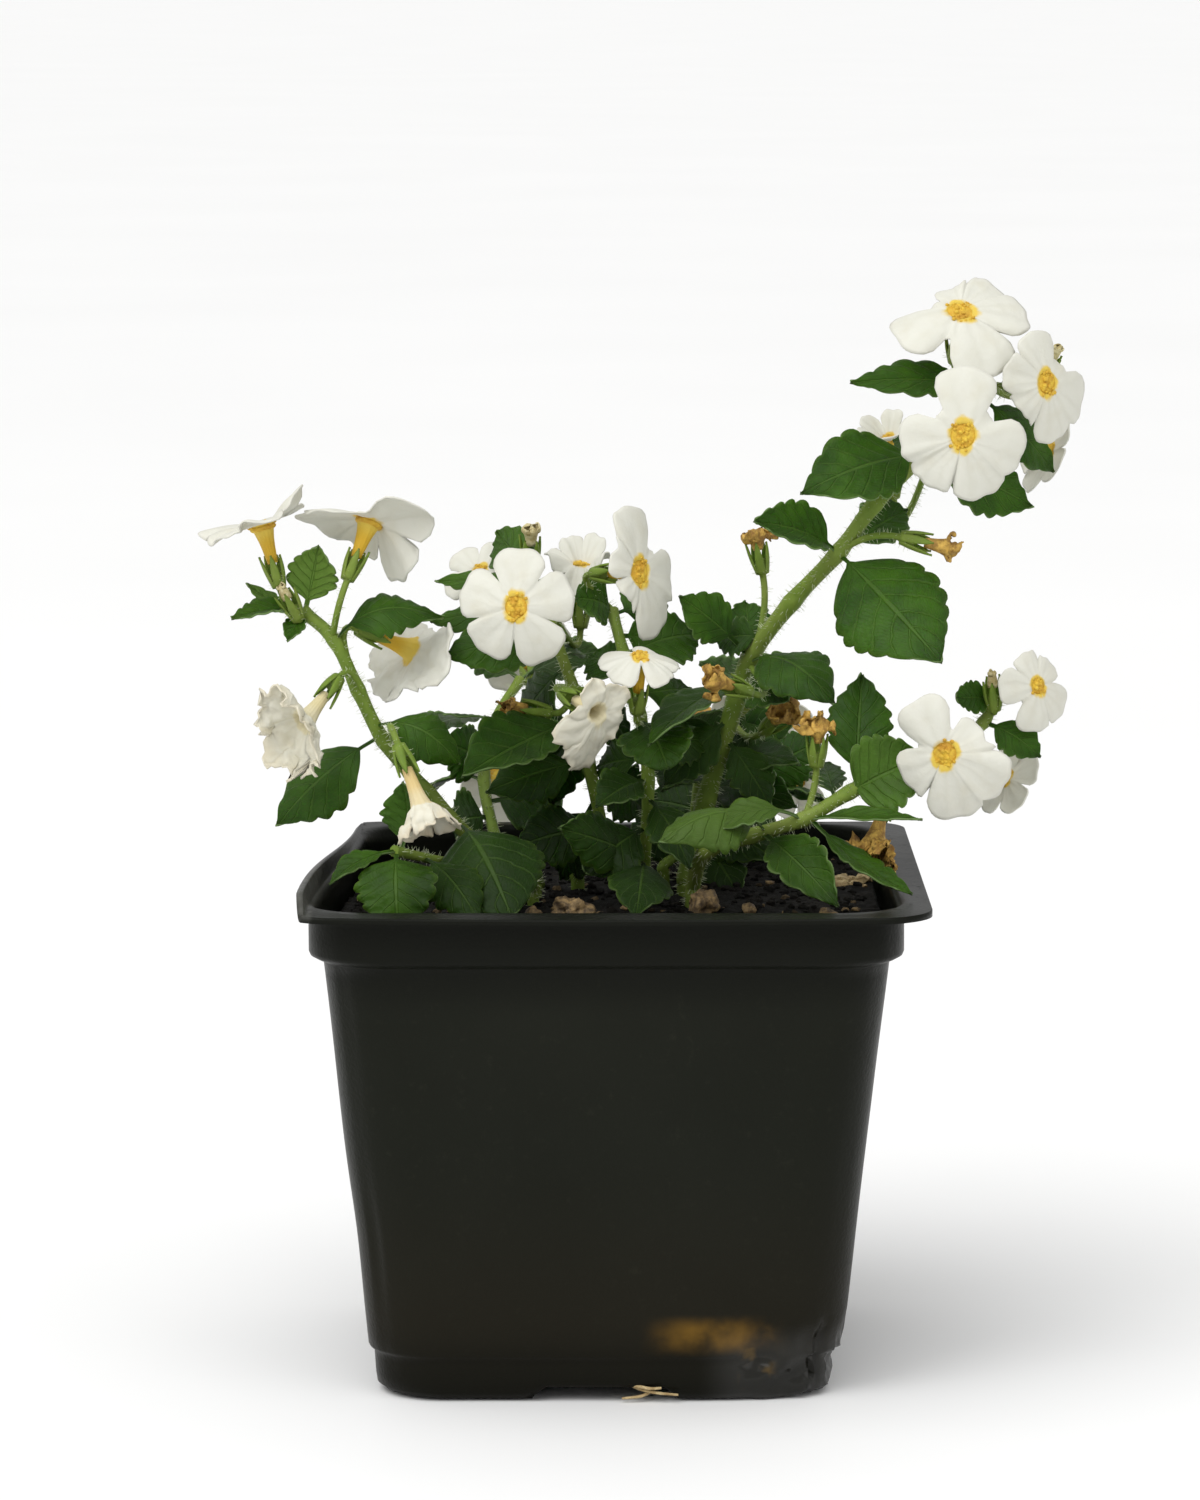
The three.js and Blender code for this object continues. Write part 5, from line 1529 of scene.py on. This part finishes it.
def scatterCrumbs(name, count, size, seed, material, flat=0.7, middle=(0, 0), half=None):
    # small rough lumps on the soil, all over it or near one spot
    dice = random.Random(seed)
    half = half or potSize["bandWidth"] / 2 - 5
    whole, _ = startMesh()
    for _ in range(count // crumbBatch):
        batch, layers = startMesh()
        for _ in range(crumbBatch):
            x, y = dice.uniform(-half, half), dice.uniform(-half, half)
            point = leanIn(Vector((x + middle[0], y + middle[1], soilTop)))
            big = dice.uniform(*size) * dice.uniform(0.6, 1)
            point.z = soilHeight(point.x, point.y) + big * 0.2
            spin = dice.uniform(0, 6)
            turned = Matrix.Rotation(spin, 4, Vector((dice.random(), dice.random(), 1)))
            shape = Matrix.Diagonal((big, big * dice.uniform(0.6, 1), big * flat, 1))
            there = Matrix.Translation(point) @ shape @ turned
            made = bmesh.ops.create_icosphere(batch, subdivisions=1, radius=1, matrix=there)
            tone = dice.random() ** 2
            for vert in made["verts"]:
                vert.co += noise.noise_vector(vert.co * 1.3) * big * 0.4
                vert[layers["tone"]] = tone
        joinMesh(whole, batch)
    makePiece(whole, name, [material], [], smooth=False)


scatterCrumbs("soilCrumbs", 1500, (0.4, 1.3), 4, soilDark)
scatterCrumbs("barkCrumbs", 100, (0.4, 1.5), 9, dryLooks["barkBrown"], 0.5)
scatterCrumbs("paleCrumbs", 50, (0.7, 1.9), 12, dryLooks["strawRoot"], 0.6, (45, 20), 4)

lumps = {
    "bit_left": ((-5.9, -20), (4.4, 3.4, 3.2)),
    "bit_left_small": ((-12.8, -22), (2.2, 1.8, 1.8)),
    "bit_right": ((17.8, -13), (4.4, 3.4, 3.4)),
    "bit_right_small": ((26, -14), (1.8, 1.4, 1.2)),
    "bit_corner": ((40, -22), (3, 2.4, 1.8)),
    "bit_back": ((-30, 30), (2.8, 2.4, 2)),
}
for k, (node, (at, size)) in enumerate(lumps.items()):
    bm, _ = startMesh()
    middle = Vector((*at, soilTop + size[2] * 0.3))
    shape = Matrix.Rotation(0.7 * k, 4, "Z") @ Matrix.Diagonal((*[s * 0.8 for s in size], 1))
    there = Matrix.Translation(middle) @ shape
    bmesh.ops.create_icosphere(bm, subdivisions=4, radius=1, matrix=there)
    for vert in bm.verts:
        rough = noise.noise(vert.co * 0.45 + Vector((k, 0, 0))) * 0.5
        rough += noise.noise(vert.co * 1.5) * 0.22
        vert.co = middle + (vert.co - middle) * (1 + rough)
    makePiece(bm, pieceName(node), [dryLooks["barkBrown"]], [node])
print("soil made")

# Straw-coloured roots that stick out of the arch under the front of the pot.
rootForm = {"steps": 16, "thick": (0.42, 0.22)}
strawRoots = [
    [(4, -38, 3), (6, -40.2, 2.4), (9, -41.4, 1.9), (13, -41.8, 1.6)],
    [(1, -38, 3.1), (5, -40.6, 3), (8, -41.6, 2.7), (10, -42, 2.9)],
    [(7, -37, 3), (8, -39.6, 2), (6.5, -41, 1.2), (3, -41.2, 0.8)],
]
tubes = []
for line in strawRoots:
    bends = [Vector(spot) for spot in line]
    shares = [k / (rootForm["steps"] - 1) for k in range(rootForm["steps"])]
    points = [catmullPoint(bends, (len(bends) - 1) * share) for share in shares]
    tubes.append((points, [blend(*rootForm["thick"], share) for share in shares]))
roots = bmesh.new()
growTubes(roots, tubes)
makePiece(roots, "strawRoots", [dryLooks["strawRoot"]], [])

bpy.ops.mesh.primitive_plane_add(size=70, location=(0, 20, 0))
floor = bpy.context.object
floor.name = "floor"
floor.data.materials.append(floorPale)

studio = {
    "worldGrey": 0.68,
    "aim": (0, 0, 0.12),
    "sun": {"from": (-0.45, -0.75, 1.5), "power": 1.65, "angle": 70},
    "lamps": [
        ("keyLamp", (-0.8, -1.0, 1.3), 0.7, 6),
        ("fillLamp", (1.2, -1.1, 0.7), 1.0, 2.5),
    ],
}
world = bpy.data.worlds.new("studio")
scene.world = world
world.use_nodes = True
sky = world.node_tree.nodes["Background"]
sky.inputs[0].default_value = (*[studio["worldGrey"]] * 3, 1)


def addLamp(name, kind, spot, power):
    lamp = bpy.data.lights.new(name, kind)
    lamp.energy = power
    holder = bpy.data.objects.new(name, lamp)
    holder.location = spot
    aim = Vector(studio["aim"]) - Vector(spot)
    holder.rotation_euler = aim.to_track_quat("-Z", "Y").to_euler()
    scene.collection.objects.link(holder)
    return lamp


sun = addLamp("sunLamp", "SUN", studio["sun"]["from"], studio["sun"]["power"])
sun.angle = math.radians(studio["sun"]["angle"])
for name, spot, size, power in studio["lamps"]:
    addLamp(name, "AREA", spot, power).size = size

camera = bpy.data.cameras.new("camera")
camera.sensor_width = cameraSetup["sensor"]
camera.lens = cameraSetup["focal"] / cameraSetup["longSide"] * camera.sensor_width
eyeHolder = bpy.data.objects.new("camera", camera)
eyeHolder.location = [value * mm for value in cameraSetup["eye"]]
eyeHolder.rotation_euler = (math.radians(90 - cameraSetup["pitch"]), 0, 0)
scene.collection.objects.link(eyeHolder)
scene.camera = eyeHolder
scene.view_settings.view_transform = "Standard"
print("studio ready")
